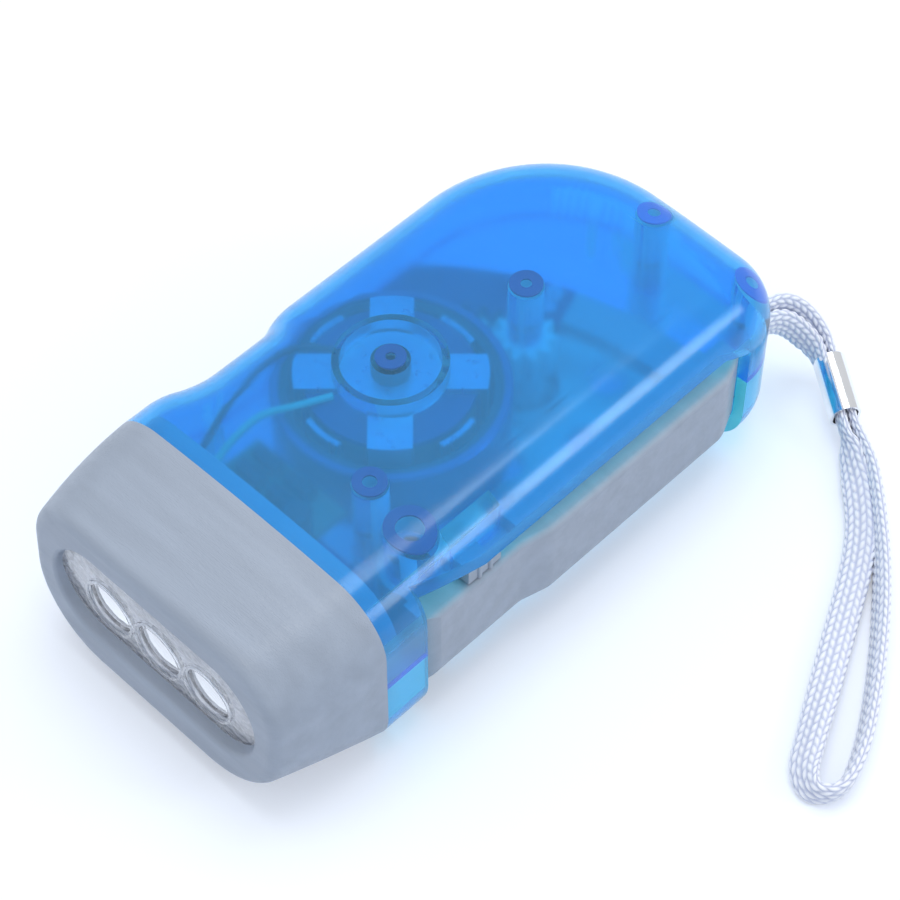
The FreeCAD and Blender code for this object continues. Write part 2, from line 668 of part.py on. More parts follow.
def on_front(edge):
    return all(abs(vertex.Y - front_at(vertex.Z)) < SEAM_BITE for vertex in edge.Vertexes)


def within_mouth(edge):
    box = edge.BoundBox
    return box.ZMax < MOUTH_Z + MOUTH_HALF_HEIGHT and box.XMax < LAMP_X + MOUTH_HALF_WIDTH + SEAM_BITE


def head_bezel():
    solid = head_form(0, 0)
    solid = solid.makeFillet(HEAD_EDGE_ROUND, [edge for edge in solid.Edges if on_front(edge)])
    solid = solid.cut(head_form(HEAD_WALL, HEAD_WALL))
    seat_half_width = LENS_HALF_WIDTH + LENS_LIP
    seat_half_height = LENS_HALF_HEIGHT + LENS_LIP
    seat = slot_prism(LENS_Y, LENS_Y + SEAT_LENGTH, seat_half_width + SEAT_WALL, seat_half_height + SEAT_WALL)
    solid = solid.fuse(seat.common(head_form(0, HEAD_EDGE_ROUND / 2)))
    flare = Part.makeLoft([
        mouth_wire(FRONT_Y, MOUTH_HALF_WIDTH, MOUTH_HALF_HEIGHT),
        mouth_wire(LENS_Y, LENS_HALF_WIDTH, LENS_HALF_HEIGHT),
    ], True, True)
    solid = solid.cut(flare)
    lip = [edge for edge in solid.Edges if on_front(edge) and within_mouth(edge)]
    solid = solid.makeFillet(MOUTH_EDGE_ROUND, lip)
    solid = solid.cut(slot_prism(LENS_Y, LENS_Y + FAR, seat_half_width, seat_half_height))
    outer = pillow(WALL + SPIGOT_FIT)
    inner = pillow(WALL + SPIGOT_FIT + SPIGOT_WALL)
    slab = block((-FAR, FAR), (SEAM_Y - SEAM_BITE, SEAM_Y + SPIGOT_LENGTH), (-FAR, FAR))
    spigot = outer.common(slab).cut(inner)
    return solid.fuse(spigot).removeSplitter()


def led_places():
    first = LAMP_X - LED_PITCH * (LED_COUNT - 1) / 2
    return [first + LED_PITCH * index for index in range(LED_COUNT)]


def along_y(x, z, start, end, radius):
    return Part.makeCylinder(radius, end - start, Vector(x, start, z), Vector(0, 1, 0))


def front_lens():
    """The clear plate, with a dome in a moulded ring before each lamp."""
    solid = slot_prism(LENS_Y, LENS_BACK_Y, LENS_HALF_WIDTH + LENS_LIP - FIT,
                       LENS_HALF_HEIGHT + LENS_LIP - FIT)
    ball = (LENS_DOME_RADIUS ** 2 + LENS_DOME_HEIGHT ** 2) / (2 * LENS_DOME_HEIGHT)
    before_lens = block((-FAR, FAR), (-FAR, LENS_Y), (-FAR, FAR))
    ring_inner = LENS_DOME_RADIUS + LENS_RING_WIDTH
    ring_outer = ring_inner + LENS_RING_WIDTH
    for x in led_places():
        dome = Part.makeSphere(ball, Vector(x, LENS_Y - LENS_DOME_HEIGHT + ball, LAMP_Z)).common(before_lens)
        rib = along_y(x, LAMP_Z, LENS_Y - LENS_RING_HEIGHT, LENS_Y, ring_outer)
        rib = rib.cut(along_y(x, LAMP_Z, LENS_Y - LENS_RING_HEIGHT, LENS_Y, ring_inner))
        solid = solid.fuse(dome).fuse(rib)
    return solid.removeSplitter()


def reflector():
    """The moulded block behind the lens, with a bright cup for each lamp."""
    solid = slot_prism(LENS_BACK_Y, REFLECTOR_BACK_Y, LENS_HALF_WIDTH + LENS_LIP - FIT,
                       LENS_HALF_HEIGHT + LENS_LIP - FIT)
    for x in led_places():
        cup_depth = REFLECTOR_DEPTH - LED_BODY_LENGTH / 2
        cup = Part.makeCone(CUP_RADIUS, LED_RADIUS + FIT, cup_depth, Vector(x, LENS_BACK_Y, LAMP_Z),
                            Vector(0, 1, 0))
        neck = along_y(x, LAMP_Z, LENS_BACK_Y, REFLECTOR_BACK_Y, LED_RADIUS + FIT)
        solid = solid.cut(cup).cut(neck)
    for side in (-1, 1):
        post = along_y(LAMP_X + side * STANDOFF_X, LAMP_Z, REFLECTOR_BACK_Y, BOARD_Y, STANDOFF_RADIUS)
        solid = solid.fuse(post)
    return solid.removeSplitter()


def led(x):
    """A clear lamp body with a domed tip, a flange and two leads through the board."""
    flange = along_y(x, LAMP_Z, REFLECTOR_BACK_Y, REFLECTOR_BACK_Y + LED_FLANGE_THICKNESS, LED_FLANGE_RADIUS)
    barrel = along_y(x, LAMP_Z, REFLECTOR_BACK_Y - LED_BODY_LENGTH, REFLECTOR_BACK_Y, LED_RADIUS)
    tip = Part.makeSphere(LED_RADIUS, Vector(x, REFLECTOR_BACK_Y - LED_BODY_LENGTH, LAMP_Z))
    solid = flange.fuse(barrel).fuse(tip)
    for side in (-1, 1):
        lead = along_y(x + side * LED_LEAD_PITCH / 2, LAMP_Z, REFLECTOR_BACK_Y + LED_FLANGE_THICKNESS,
                       BOARD_Y + BOARD_THICKNESS + LED_LEAD_END, LED_LEAD_RADIUS)
        solid = solid.fuse(lead)
    return solid.removeSplitter()


def led_board():
    x_range = (LAMP_X - BOARD_HALF_WIDTH, LAMP_X + BOARD_HALF_WIDTH)
    z_range = (LAMP_Z - BOARD_HALF_HEIGHT, LAMP_Z + BOARD_HALF_HEIGHT)
    board = block(x_range, (BOARD_Y, BOARD_Y + BOARD_THICKNESS), z_range)
    for x in led_places():
        for side in (-1, 1):
            hole_x = x + side * LED_LEAD_PITCH / 2
            hole = along_y(hole_x, LAMP_Z, BOARD_Y, BOARD_Y + BOARD_THICKNESS, LED_LEAD_RADIUS + FIT)
            board = board.cut(hole)
    return board


def grip_outline():
    """Plan of the grip: recessed beside the collar, proud of the shell behind it."""
    proud_x = LEVER_SIDE_X + GRIP_PROUD
    front_x = LEVER_SIDE_X - GRIP_RECESS
    front_y = WINDOW_FRONT_Y + GRIP_FRONT_GAP
    tail_y = WINDOW_TAIL_Y - GRIP_TAIL_GAP
    blend = GRIP_STEP_RUN
    return rounded_wire([
        (GRIP_INNER_X, front_y, 0),
        (front_x, front_y, 0),
        (front_x, GRIP_STEP_Y, blend),
        (proud_x, GRIP_STEP_Y + GRIP_STEP_RUN, blend),
        (proud_x, tail_y - GRIP_TAIL_RUN, GRIP_TAIL_RUN),
        (proud_x - GRIP_TAIL_TAPER, tail_y, 0),
        (GRIP_INNER_X, tail_y, 0),
    ])


def sector_plate(start, end, inner, outer, low, high):
    """A piece of a flat ring about the lever pivot."""
    middle = (start + end) / 2
    z = Vector(0, 0, low)
    points = {
        (radius, angle): Vector(*polar(PIVOT_X, PIVOT_Y, radius, angle), 0) + z
        for radius in (inner, outer) for angle in (start, middle, end)
    }
    wire = Part.Wire([
        Part.Arc(points[outer, start], points[outer, middle], points[outer, end]).toShape(),
        Part.LineSegment(points[outer, end], points[inner, end]).toShape(),
        Part.Arc(points[inner, end], points[inner, middle], points[inner, start]).toShape(),
        Part.LineSegment(points[inner, start], points[outer, start]).toShape(),
    ])
    return Part.Face(wire).extrude(Vector(0, 0, high - low))


def rivet_places():
    angle = SECTOR_START + LAP_ANGLE / 2
    span = SECTOR_OUTER_RADIUS - SECTOR_WEB_INNER_RADIUS
    return [polar(PIVOT_X, PIVOT_Y, SECTOR_WEB_INNER_RADIUS + span * share, angle) for share in (0.3, 0.7)]


def squeeze_lever():
    outline = grip_outline()
    outline.translate(Vector(0, 0, GRIP_LOW_Z))
    grip = Part.Face(outline).extrude(Vector(0, 0, LEDGE_Z - GRIP_LOW_Z))
    outer_x = LEVER_SIDE_X - WALL
    lower = [edge for edge in grip.Edges if edge.BoundBox.XMin > outer_x and edge.BoundBox.ZMax < SPLIT_Z]
    grip = grip.makeFillet(GRIP_LOWER_ROUND, lower)
    upper = [edge for edge in grip.Edges if edge.BoundBox.XMin > outer_x and edge.BoundBox.ZMin > SPLIT_Z]
    grip = grip.makeFillet(GRIP_UPPER_ROUND, upper)
    step = block((GRIP_INNER_X, GRIP_INNER_X + STEP_REACH), (STEP_FRONT_Y, STEP_TAIL_Y), (SPLIT_Z, STEP_Z))
    pocket_x = LEVER_SIDE_X + GRIP_PROUD - GRIP_SKIN
    pocket = block((GRIP_INNER_X - WALL, pocket_x), (POCKET_FRONT_Y, POCKET_TAIL_Y),
                   (GRIP_LOW_Z + POCKET_WALL, LEDGE_Z - POCKET_WALL))
    grip = grip.fuse(step).cut(pocket)
    nose = block((PIVOT_X - FAR, FAR), (-FAR, PIVOT_Y), (-FAR, FAR))
    nose = nose.cut(cylinder(PIVOT_X, PIVOT_Y, -FAR, FAR, GRIP_NOSE_RADIUS))
    grip = grip.cut(nose)
    hub = cylinder(PIVOT_X, PIVOT_Y, HUB_LOW_Z, HUB_TOP_Z, PIVOT_HUB_RADIUS)
    bridge_y = (PIVOT_Y - PIVOT_HUB_RADIUS + BRIDGE_INSET, PIVOT_Y + PIVOT_HUB_RADIUS)
    bridge = block((PIVOT_X, GRIP_INNER_X + ROOT_OVERLAP), bridge_y, (HUB_LOW_Z, HUB_TOP_Z))
    web = sector_plate(WEB_START, SECTOR_START, SECTOR_WEB_INNER_RADIUS, SECTOR_OUTER_RADIUS,
                       SECTOR_LOW_Z, SECTOR_TOP_Z)
    tongue = sector_plate(WEB_START, SECTOR_START + LAP_ANGLE, SECTOR_WEB_INNER_RADIUS, SECTOR_OUTER_RADIUS,
                          SECTOR_LOW_Z, LAP_Z)
    root_y = PIVOT_Y + SECTOR_WEB_INNER_RADIUS - POCKET_WALL
    root = block((GRIP_INNER_X - ROOT_OVERLAP, pocket_x + ROOT_OVERLAP), (root_y, POCKET_TAIL_Y),
                 (SECTOR_LOW_Z, SECTOR_TOP_Z))
    solid = grip.fuse(hub).fuse(bridge).fuse(web).fuse(tongue).fuse(root)
    solid = solid.cut(cylinder(PIVOT_X, PIVOT_Y, 0, BODY_HEIGHT, PIVOT_PIN_RADIUS + SHAFT_CLEARANCE))
    for x, y in rivet_places():
        solid = solid.cut(cylinder(x, y, 0, BODY_HEIGHT, RIVET_RADIUS))
    return solid.removeSplitter()


def tooth_widths(module):
    """Tooth thickness at the root, at the pitch line and at the tip."""
    pitch = math.pi * module
    return 0.60 * pitch, 0.42 * pitch, 0.20 * pitch


def gear_blank(x, y, teeth, module, phase, low, high):
    """A spur gear with straight-flanked teeth; one tooth is centred on the phase angle."""
    pitch_radius = module * teeth / 2
    root_width, pitch_width, tip_width = tooth_widths(module)
    stations = [
        (pitch_radius - TOOTH_ROOT * module, root_width),
        (pitch_radius, pitch_width),
        (pitch_radius + TOOTH_TIP * module, tip_width),
    ]
    points = []
    for index in range(teeth):
        middle = phase + 360.0 * index / teeth
        halves = [(radius, math.degrees(width / 2 / radius)) for radius, width in stations]
        points += [polar(x, y, radius, middle - half) for radius, half in halves]
        points += [polar(x, y, radius, middle + half) for radius, half in reversed(halves)]
    return prism(points, low, high)


def sector_gear():
    """The toothed arc that the lever carries, with teeth that face the pivot."""
    root_width, pitch_width, tip_width = tooth_widths(SECTOR_MODULE)
    tip = SECTOR_PITCH_RADIUS - TOOTH_TIP * SECTOR_MODULE
    root = SECTOR_ROOT_RADIUS
    pitch_angle = 360.0 / SECTOR_TEETH
    stations = [(root, root_width), (SECTOR_PITCH_RADIUS, pitch_width), (tip, tip_width)]
    halves = [(radius, math.degrees(width / 2 / radius)) for radius, width in stations]
    arc = sector_plate(SECTOR_START, SECTOR_END, root, SECTOR_OUTER_RADIUS, SECTOR_LOW_Z, SECTOR_TOP_Z)
    first = math.ceil((SECTOR_START - MESH_ANGLE) / pitch_angle + 0.1)
    last = math.floor((SECTOR_END - MESH_ANGLE) / pitch_angle - 1.1)
    back = root + SECTOR_MODULE / 2
    for index in range(first, last + 1):
        middle = MESH_ANGLE + (index + 0.5) * pitch_angle
        points = [polar(PIVOT_X, PIVOT_Y, back, middle - halves[0][1])]
        points += [polar(PIVOT_X, PIVOT_Y, radius, middle - half) for radius, half in halves]
        points += [polar(PIVOT_X, PIVOT_Y, radius, middle + half) for radius, half in reversed(halves)]
        points.append(polar(PIVOT_X, PIVOT_Y, back, middle + halves[0][1]))
        arc = arc.fuse(prism(points, SECTOR_LOW_Z, SECTOR_TOP_Z))
    relief = sector_plate(SECTOR_START - LAP_ANGLE, SECTOR_START + LAP_ANGLE + LAP_GAP_ANGLE,
                          SECTOR_WEB_INNER_RADIUS - FIT, SECTOR_OUTER_RADIUS + WALL,
                          SECTOR_LOW_Z - WALL, LAP_Z)
    wall_x = PALM_SIDE_X + WALL + SECTOR_WALL_GAP
    beyond_wall = block((-FAR, wall_x), (-FAR, FAR), (-FAR, FAR))
    arc = arc.cut(relief).cut(beyond_wall)
    for x, y in rivet_places():
        arc = arc.cut(cylinder(x, y, 0, BODY_HEIGHT, RIVET_RADIUS))
    return arc.removeSplitter()


def sector_rivets():
    rivets = []
    for x, y in rivet_places():
        low = SECTOR_LOW_Z - RIVET_HEAD
        high = SECTOR_TOP_Z + RIVET_HEAD
        shank = cylinder(x, y, low, high, RIVET_RADIUS)
        heads = [
            cylinder(x, y, low, SECTOR_LOW_Z, 1.5 * RIVET_RADIUS),
            cylinder(x, y, SECTOR_TOP_Z, high, 1.5 * RIVET_RADIUS),
        ]
        rivets.append(shank.fuse(heads).removeSplitter())
    return Part.makeCompound(rivets)


def lever_pivot_pin():
    return cylinder(PIVOT_X, PIVOT_Y, WALL / 2, pivot_pin_top(), PIVOT_PIN_RADIUS)


def spring_height():
    return (2 * SPRING_TURNS + 1) * SPRING_WIRE_RADIUS + SPRING_SLACK


def spring_low():
    return HUB_LOW_Z - RUNNING_GAP - spring_height()


def spring_route():
    """Ground leg beside the front screw boss, turns round the pivot pin, then the leg that pushes."""
    low = spring_low() + SPRING_WIRE_RADIUS + FIT
    high = low + spring_height() - 2 * SPRING_WIRE_RADIUS - 2 * FIT
    boss_x, boss_y = SCREWS["front"]
    rest = Vector(boss_x, boss_y + LOWER_BOSS_RADIUS + SPRING_WIRE_RADIUS + FIT, low)
    push = Vector(GRIP_INNER_X - SPRING_WIRE_RADIUS - FIT, PIVOT_Y + SPRING_LEG, high)
    start = tangent_angle(rest, 1)
    end = tangent_angle(push, -1)
    turn = start - end + 360.0 * SPRING_TURNS
    steps = round(turn / SPRING_STEP)
    reach = SPRING_COIL_RADIUS / math.cos(math.radians(turn / steps / 2))
    points = [rest]
    for index in range(steps + 1):
        x, y = polar(PIVOT_X, PIVOT_Y, reach, start - turn * index / steps)
        points.append(Vector(x, y, low + (high - low) * index / steps))
    return [tuple(point) for point in points + [push]]


def tangent_angle(point, side):
    """Angle on the coil where a straight leg to the point leaves it."""
    across = math.hypot(point.x - PIVOT_X, point.y - PIVOT_Y)
    toward = math.degrees(math.atan2(point.y - PIVOT_Y, point.x - PIVOT_X))
    return toward - side * math.degrees(math.acos(SPRING_COIL_RADIUS / across))


def return_spring():
    return tube(spring_route(), SPRING_WIRE_RADIUS)[0]


def lock_slider():
    """The thumb slide above the front of the lever; its hook can pass outside the lever's step."""
    face_x = LOCK_RAIL_X + LOCK_RAIL_WIDTH + SHAFT_CLEARANCE
    hook_x = GRIP_INNER_X + STEP_REACH + RUNNING_GAP / 2
    low = LEDGE_Z + RUNNING_GAP
    high = WINDOW_HEAD_Z - RUNNING_GAP / 2
    outer_x = LEVER_SIDE_X - LOCK_RECESS
    body_end = LOCK_Y + LOCK_LENGTH - LOCK_HOOK_LENGTH
    body = block((face_x, outer_x), (LOCK_Y, body_end), (low, high))
    hook = block((hook_x, outer_x), (LOCK_Y, LOCK_Y + LOCK_LENGTH), (low, high))
    stem_low, stem_high = lock_stem_levels()
    neck_x = LOCK_RAIL_X - SHAFT_CLEARANCE
    stem = block((neck_x, face_x), lock_stem_range(), (stem_low, stem_high))
    head_levels = (stem_low - LOCK_HEAD, stem_high + LOCK_HEAD)
    head = block((neck_x - LOCK_HEAD, neck_x), lock_stem_range(), head_levels)
    solid = body.fuse([hook, stem, head])
    pitch = LOCK_LENGTH / (LOCK_RIDGES + 1)
    for index in range(LOCK_RIDGES):
        y = LOCK_Y + pitch * (index + 1)
        solid = solid.fuse(cylinder(outer_x, y, low, high, LOCK_RECESS * LOCK_RIDGE_SHARE))
    return solid.removeSplitter()


def drive_gear():
    solid = gear_blank(GEAR_X, GEAR_Y, DRIVE_GEAR_TEETH, DRIVE_MODULE, DRIVE_MESH_ANGLE,
                       DRIVE_LOW_Z, DRIVE_TOP_Z)
    solid = solid.fuse(cylinder(GEAR_X, GEAR_Y, DRIVE_LOW_Z, RATCHET_TOP_Z, DRIVE_GEAR_HUB_RADIUS))
    hole_circle = (DRIVE_GEAR_HUB_RADIUS + DRIVE_MODULE * DRIVE_GEAR_TEETH / 2) / 2
    for index in range(DRIVE_GEAR_HOLES):
        x, y = polar(GEAR_X, GEAR_Y, hole_circle, 360.0 * index / DRIVE_GEAR_HOLES)
        solid = solid.cut(cylinder(x, y, 0, BODY_HEIGHT, DRIVE_GEAR_HOLE_RADIUS))
    solid = solid.cut(cylinder(GEAR_X, GEAR_Y, DRIVE_TOP_Z, RATCHET_TOP_Z, RATCHET_CUP_RADIUS))
    solid = solid.cut(cylinder(GEAR_X, GEAR_Y, 0, BODY_HEIGHT, GEAR_AXLE_RADIUS + SHAFT_CLEARANCE))
    return solid.removeSplitter()


def ratchet_outline():
    """Saw teeth: each rises along the rim and drops straight in."""
    points = []
    for index in range(RATCHET_TEETH):
        angle = 360.0 * index / RATCHET_TEETH
        points.append(polar(GEAR_X, GEAR_Y, RATCHET_RADIUS - RATCHET_TOOTH, angle))
        points.append(polar(GEAR_X, GEAR_Y, RATCHET_RADIUS, angle + 360.0 / RATCHET_TEETH - 1.0))
    return points


def sector_pinion():
    """The small gear under the sector, in one piece with the ratchet wheel below it."""
    solid = gear_blank(GEAR_X, GEAR_Y, SECTOR_PINION_TEETH, SECTOR_MODULE, MESH_ANGLE,
                       PINION_LOW_Z, PINION_TOP_Z)
    solid = solid.fuse(cylinder(GEAR_X, GEAR_Y, DRIVE_TOP_Z, PINION_LOW_Z, PINION_SLEEVE_RADIUS))
    solid = solid.fuse(prism(ratchet_outline(), DRIVE_TOP_Z, RATCHET_TOP_Z))
    return solid.cut(cylinder(GEAR_X, GEAR_Y, 0, BODY_HEIGHT, GEAR_AXLE_RADIUS + SHAFT_CLEARANCE))


def ratchet_pawl():
    """A spring ring in the gear's cup, with two fingers that drop between the saw teeth."""
    low = DRIVE_TOP_Z
    high = RATCHET_TOP_Z - PAWL_DROP
    solid = ring(GEAR_X, GEAR_Y, low, high, RATCHET_CUP_RADIUS, RATCHET_CUP_RADIUS - PAWL_WIDTH)
    for index in range(PAWL_COUNT):
        angle = 360.0 * index / PAWL_COUNT + PAWL_START
        heel, root = [polar(GEAR_X, GEAR_Y, RATCHET_CUP_RADIUS - PAWL_WIDTH / 2, angle + turn)
                      for turn in PAWL_SPREAD]
        tip, tip_back = [polar(GEAR_X, GEAR_Y, RATCHET_RADIUS + reach, angle) for reach in PAWL_TIP]
        solid = solid.fuse(prism([tip, tip_back, heel, root], low, high))
    wheel = prism(ratchet_outline(), low, high)
    return solid.cut(wheel).Solids[0]


def gear_axle():
    return cylinder(GEAR_X, GEAR_Y, WALL / 2, gear_axle_top(), GEAR_AXLE_RADIUS)


def flywheel_axle():
    return cylinder(AXLE_X, AXLE_Y, WALL / 2, flywheel_axle_top(), AXLE_RADIUS)


def flywheel_pinion():
    tooth_pitch = 360.0 / FLYWHEEL_PINION_TEETH
    phase = DRIVE_MESH_ANGLE + 180 + tooth_pitch / 2
    top = DRIVE_TOP_Z + RUNNING_GAP
    solid = gear_blank(AXLE_X, AXLE_Y, FLYWHEEL_PINION_TEETH, DRIVE_MODULE, phase,
                       DRIVE_LOW_Z - RUNNING_GAP, top)
    solid = solid.fuse(cylinder(AXLE_X, AXLE_Y, top, ROTOR_FLOOR_TOP_Z, ROTOR_SLEEVE_RADIUS))
    return solid.cut(cylinder(AXLE_X, AXLE_Y, 0, BODY_HEIGHT, AXLE_RADIUS + SHAFT_CLEARANCE))


def flywheel():
    """The steel cup that spins round the coil."""
    solid = cylinder(AXLE_X, AXLE_Y, ROTOR_LOW_Z, ROTOR_TOP_Z, ROTOR_RADIUS)
    solid = solid.cut(cylinder(AXLE_X, AXLE_Y, ROTOR_FLOOR_TOP_Z, ROTOR_TOP_Z, ROTOR_RADIUS - ROTOR_RIM))
    rim = [edge for edge in solid.Edges if abs(edge.BoundBox.XLength - 2 * ROTOR_RADIUS) < 0.01]
    solid = solid.makeChamfer(ROTOR_RIM / 4, [edge for edge in rim if edge.BoundBox.ZLength < 0.01])
    return solid.cut(cylinder(AXLE_X, AXLE_Y, 0, BODY_HEIGHT, ROTOR_SLEEVE_RADIUS))


def ring_magnet():
    outer = ROTOR_RADIUS - ROTOR_RIM
    return ring(AXLE_X, AXLE_Y, ROTOR_FLOOR_TOP_Z + ROTOR_GAP, ROTOR_TOP_Z - MAGNET_MARGIN, outer,
                outer - MAGNET_THICKNESS)


def claw_plate(plate_low, finger_end, turn):
    """A pole plate: a hub, four arms and a finger bent from the end of each arm."""
    plate_high = plate_low + CLAW_THICKNESS
    low = min(plate_low, finger_end)
    high = max(plate_high, finger_end)
    half = CLAW_ARM_WIDTH / 2
    reach = cylinder(AXLE_X, AXLE_Y, low, high, CLAW_RADIUS)
    solid = cylinder(AXLE_X, AXLE_Y, plate_low, plate_high, CLAW_HUB_RADIUS)
    shaft_ring = ring(AXLE_X, AXLE_Y, low, high, CLAW_RADIUS, CLAW_RADIUS - CLAW_FINGER_THICKNESS)
    for index in range(CLAW_ARMS):
        angle = turn + 360.0 / CLAW_ARMS * index
        arm = block((0, CLAW_RADIUS), (-half, half), (plate_low, plate_high))
        finger = block((CLAW_RADIUS / 2, CLAW_RADIUS), (-half, half), (low, high))
        for piece in (arm, finger):
            piece.rotate(Vector(0, 0, 0), Vector(0, 0, 1), angle)
            piece.translate(Vector(AXLE_X, AXLE_Y, 0))
        solid = solid.fuse([arm.common(reach), finger.common(shaft_ring)])
    return solid.cut(cylinder(AXLE_X, AXLE_Y, 0, BODY_HEIGHT, AXLE_RADIUS)).removeSplitter()


def upper_claw_plate():
    return claw_plate(BOBBIN_TOP_Z, BOBBIN_LOW_Z + CLAW_FINGER_GAP, CLAW_ANGLE)


def lower_claw_plate():
    return claw_plate(LOWER_CLAW_Z, BOBBIN_TOP_Z - CLAW_FINGER_GAP, CLAW_ANGLE + 180.0 / CLAW_ARMS)


def coil_bobbin():
    solid = cylinder(AXLE_X, AXLE_Y, BOBBIN_LOW_Z, BOBBIN_TOP_Z, BOBBIN_TUBE_RADIUS)
    for low in (BOBBIN_LOW_Z, BOBBIN_TOP_Z - BOBBIN_FLANGE):
        solid = solid.fuse(cylinder(AXLE_X, AXLE_Y, low, low + BOBBIN_FLANGE, BOBBIN_RADIUS))
    return solid.cut(cylinder(AXLE_X, AXLE_Y, 0, BODY_HEIGHT, BOBBIN_BORE_RADIUS)).removeSplitter()


def coil_winding():
    return ring(AXLE_X, AXLE_Y, BOBBIN_LOW_Z + BOBBIN_FLANGE, BOBBIN_TOP_Z - BOBBIN_FLANGE,
                WINDING_RADIUS, BOBBIN_TUBE_RADIUS)


def shell_screws():
    """The three screws that hold the shells, with their heads sunk in the lower shell."""
    screws = []
    for x, y in SCREWS.values():
        head = cylinder(x, y, SCREW_SEAT_Z - SCREW_HEAD_HEIGHT, SCREW_SEAT_Z, SCREW_HEAD_RADIUS)
        shank = cylinder(x, y, SCREW_SEAT_Z, SCREW_SEAT_Z + SCREW_LENGTH, SCREW_RADIUS)
        screw = head.fuse(shank)
        low = SCREW_SEAT_Z - SCREW_HEAD_HEIGHT
        slot_half = SCREW_HEAD_RADIUS * SCREW_SLOT_SHARE
        for turn in (0, 90):
            slot = block((-slot_half, slot_half), (-SCREW_SLOT_WIDTH / 2, SCREW_SLOT_WIDTH / 2),
                         (low, low + SCREW_HEAD_HEIGHT / 2))
            slot.rotate(Vector(0, 0, 0), Vector(0, 0, 1), turn)
            slot.translate(Vector(x, y, 0))
            screw = screw.cut(slot)
        screws.append(screw.removeSplitter())
    return Part.makeCompound(screws)


def cell_pack():
    """Button cells in a row, held by a sleeve that shows each joint as a groove."""
    solid = cell_form(CELL_RADIUS)
    width, depth = CELL_GROOVE
    for index in range(1, CELL_COUNT):
        start = Vector(CELL_START_X + index * CELL_LENGTH - width / 2, CELL_Y, CELL_Z)
        groove = Part.makeCylinder(CELL_RADIUS + depth, width, start, Vector(1, 0, 0))
        groove = groove.cut(Part.makeCylinder(CELL_RADIUS - depth, width, start, Vector(1, 0, 0)))
        solid = solid.cut(groove)
    return solid


def cell_tabs():
    """The welded strips on the two ends of the cell pack."""
    tabs = []
    for x in (CELL_START_X - CELL_TAB, CELL_END_X):
        y_range = (CELL_Y - CELL_TAB_WIDTH / 2, CELL_Y + CELL_TAB_WIDTH / 2)
        tabs.append(block((x, x + CELL_TAB), y_range, (CELL_Z - CELL_TAB_DROP, rectifier_low())))
    return Part.makeCompound(tabs)


def rectifier_low():
    return CELL_Z + CELL_RADIUS


def rectifier_range():
    """Plan of the small board that lies on the cells, kept clear of the flywheel."""
    tail_edge = AXLE_Y - ROTOR_RADIUS - RUNNING_GAP
    return (CELL_START_X, CELL_START_X + RECTIFIER_LENGTH), (tail_edge - RECTIFIER_WIDTH, tail_edge)


def rectifier_board():
    x_range, y_range = rectifier_range()
    return block(x_range, y_range, (rectifier_low(), rectifier_low() + RECTIFIER_THICKNESS))


def rectifier_diodes():
    x_range, y_range = rectifier_range()
    z = rectifier_low() + RECTIFIER_THICKNESS + DIODE_RADIUS
    diodes = []
    for index in range(2):
        for row in range(2):
            x = x_range[0] + DIODE_INSET[0] + DIODE_PITCH * index
            y = y_range[1] - DIODE_INSET[1] - DIODE_ROW_PITCH * row
            diodes.append(Part.makeCylinder(DIODE_RADIUS, DIODE_LENGTH, Vector(x, y, z), Vector(1, 0, 0)))
    return Part.makeCompound(diodes)


def storage_capacitor():
    x_range, y_range = rectifier_range()
    low = rectifier_low() + RECTIFIER_THICKNESS
    x = x_range[1] - CAPACITOR_RADIUS - CAPACITOR_INSET[0]
    y = y_range[0] + CAPACITOR_RADIUS + CAPACITOR_INSET[1]
    solid = cylinder(x, y, low, low + CAPACITOR_HEIGHT, CAPACITOR_RADIUS)
    rims = [edge for edge in solid.Edges if edge.BoundBox.ZLength < 0.01]
    return solid.makeFillet(CAPACITOR_RADIUS / 5, rims)


def run_lengths(route):
    points = [Vector(*point) for point in route]
    return [(after - before).Length for before, after in zip(points, points[1:])]


def tube(route, radius):
    """A round tube along straight runs with an arc at each corner; returns the solid and its arc radii."""
    points = [Vector(*point) for point in route]
    runs = run_lengths(route)
    edges = []
    radii = []
    here = points[0]
    for index in range(1, len(points) - 1):
        corner = points[index]
        back = (points[index - 1] - corner).normalize()
        ahead = (points[index + 1] - corner).normalize()
        turn = math.pi - back.getAngle(ahead)
        run = 0.45 * min(runs[index - 1], runs[index])
        bend = run / math.tan(turn / 2)
        inward = (back + ahead).normalize()
        centre = corner + inward * math.hypot(bend, run)
        start = corner + back * run
        end = corner + ahead * run
        edges.append(Part.LineSegment(here, start).toShape())
        edges.append(Part.Arc(start, centre - inward * bend, end).toShape())
        radii.append(bend)
        here = end
    edges.append(Part.LineSegment(here, points[-1]).toShape())
    path = Part.Wire(edges)
    profile = Part.Wire([Part.makeCircle(radius, points[0], points[1] - points[0])])
    return path.makePipeShell([profile], True, True), radii, path.Length


def around_axle(radius, angle, z):
    return (*polar(AXLE_X, AXLE_Y, radius, angle), z)


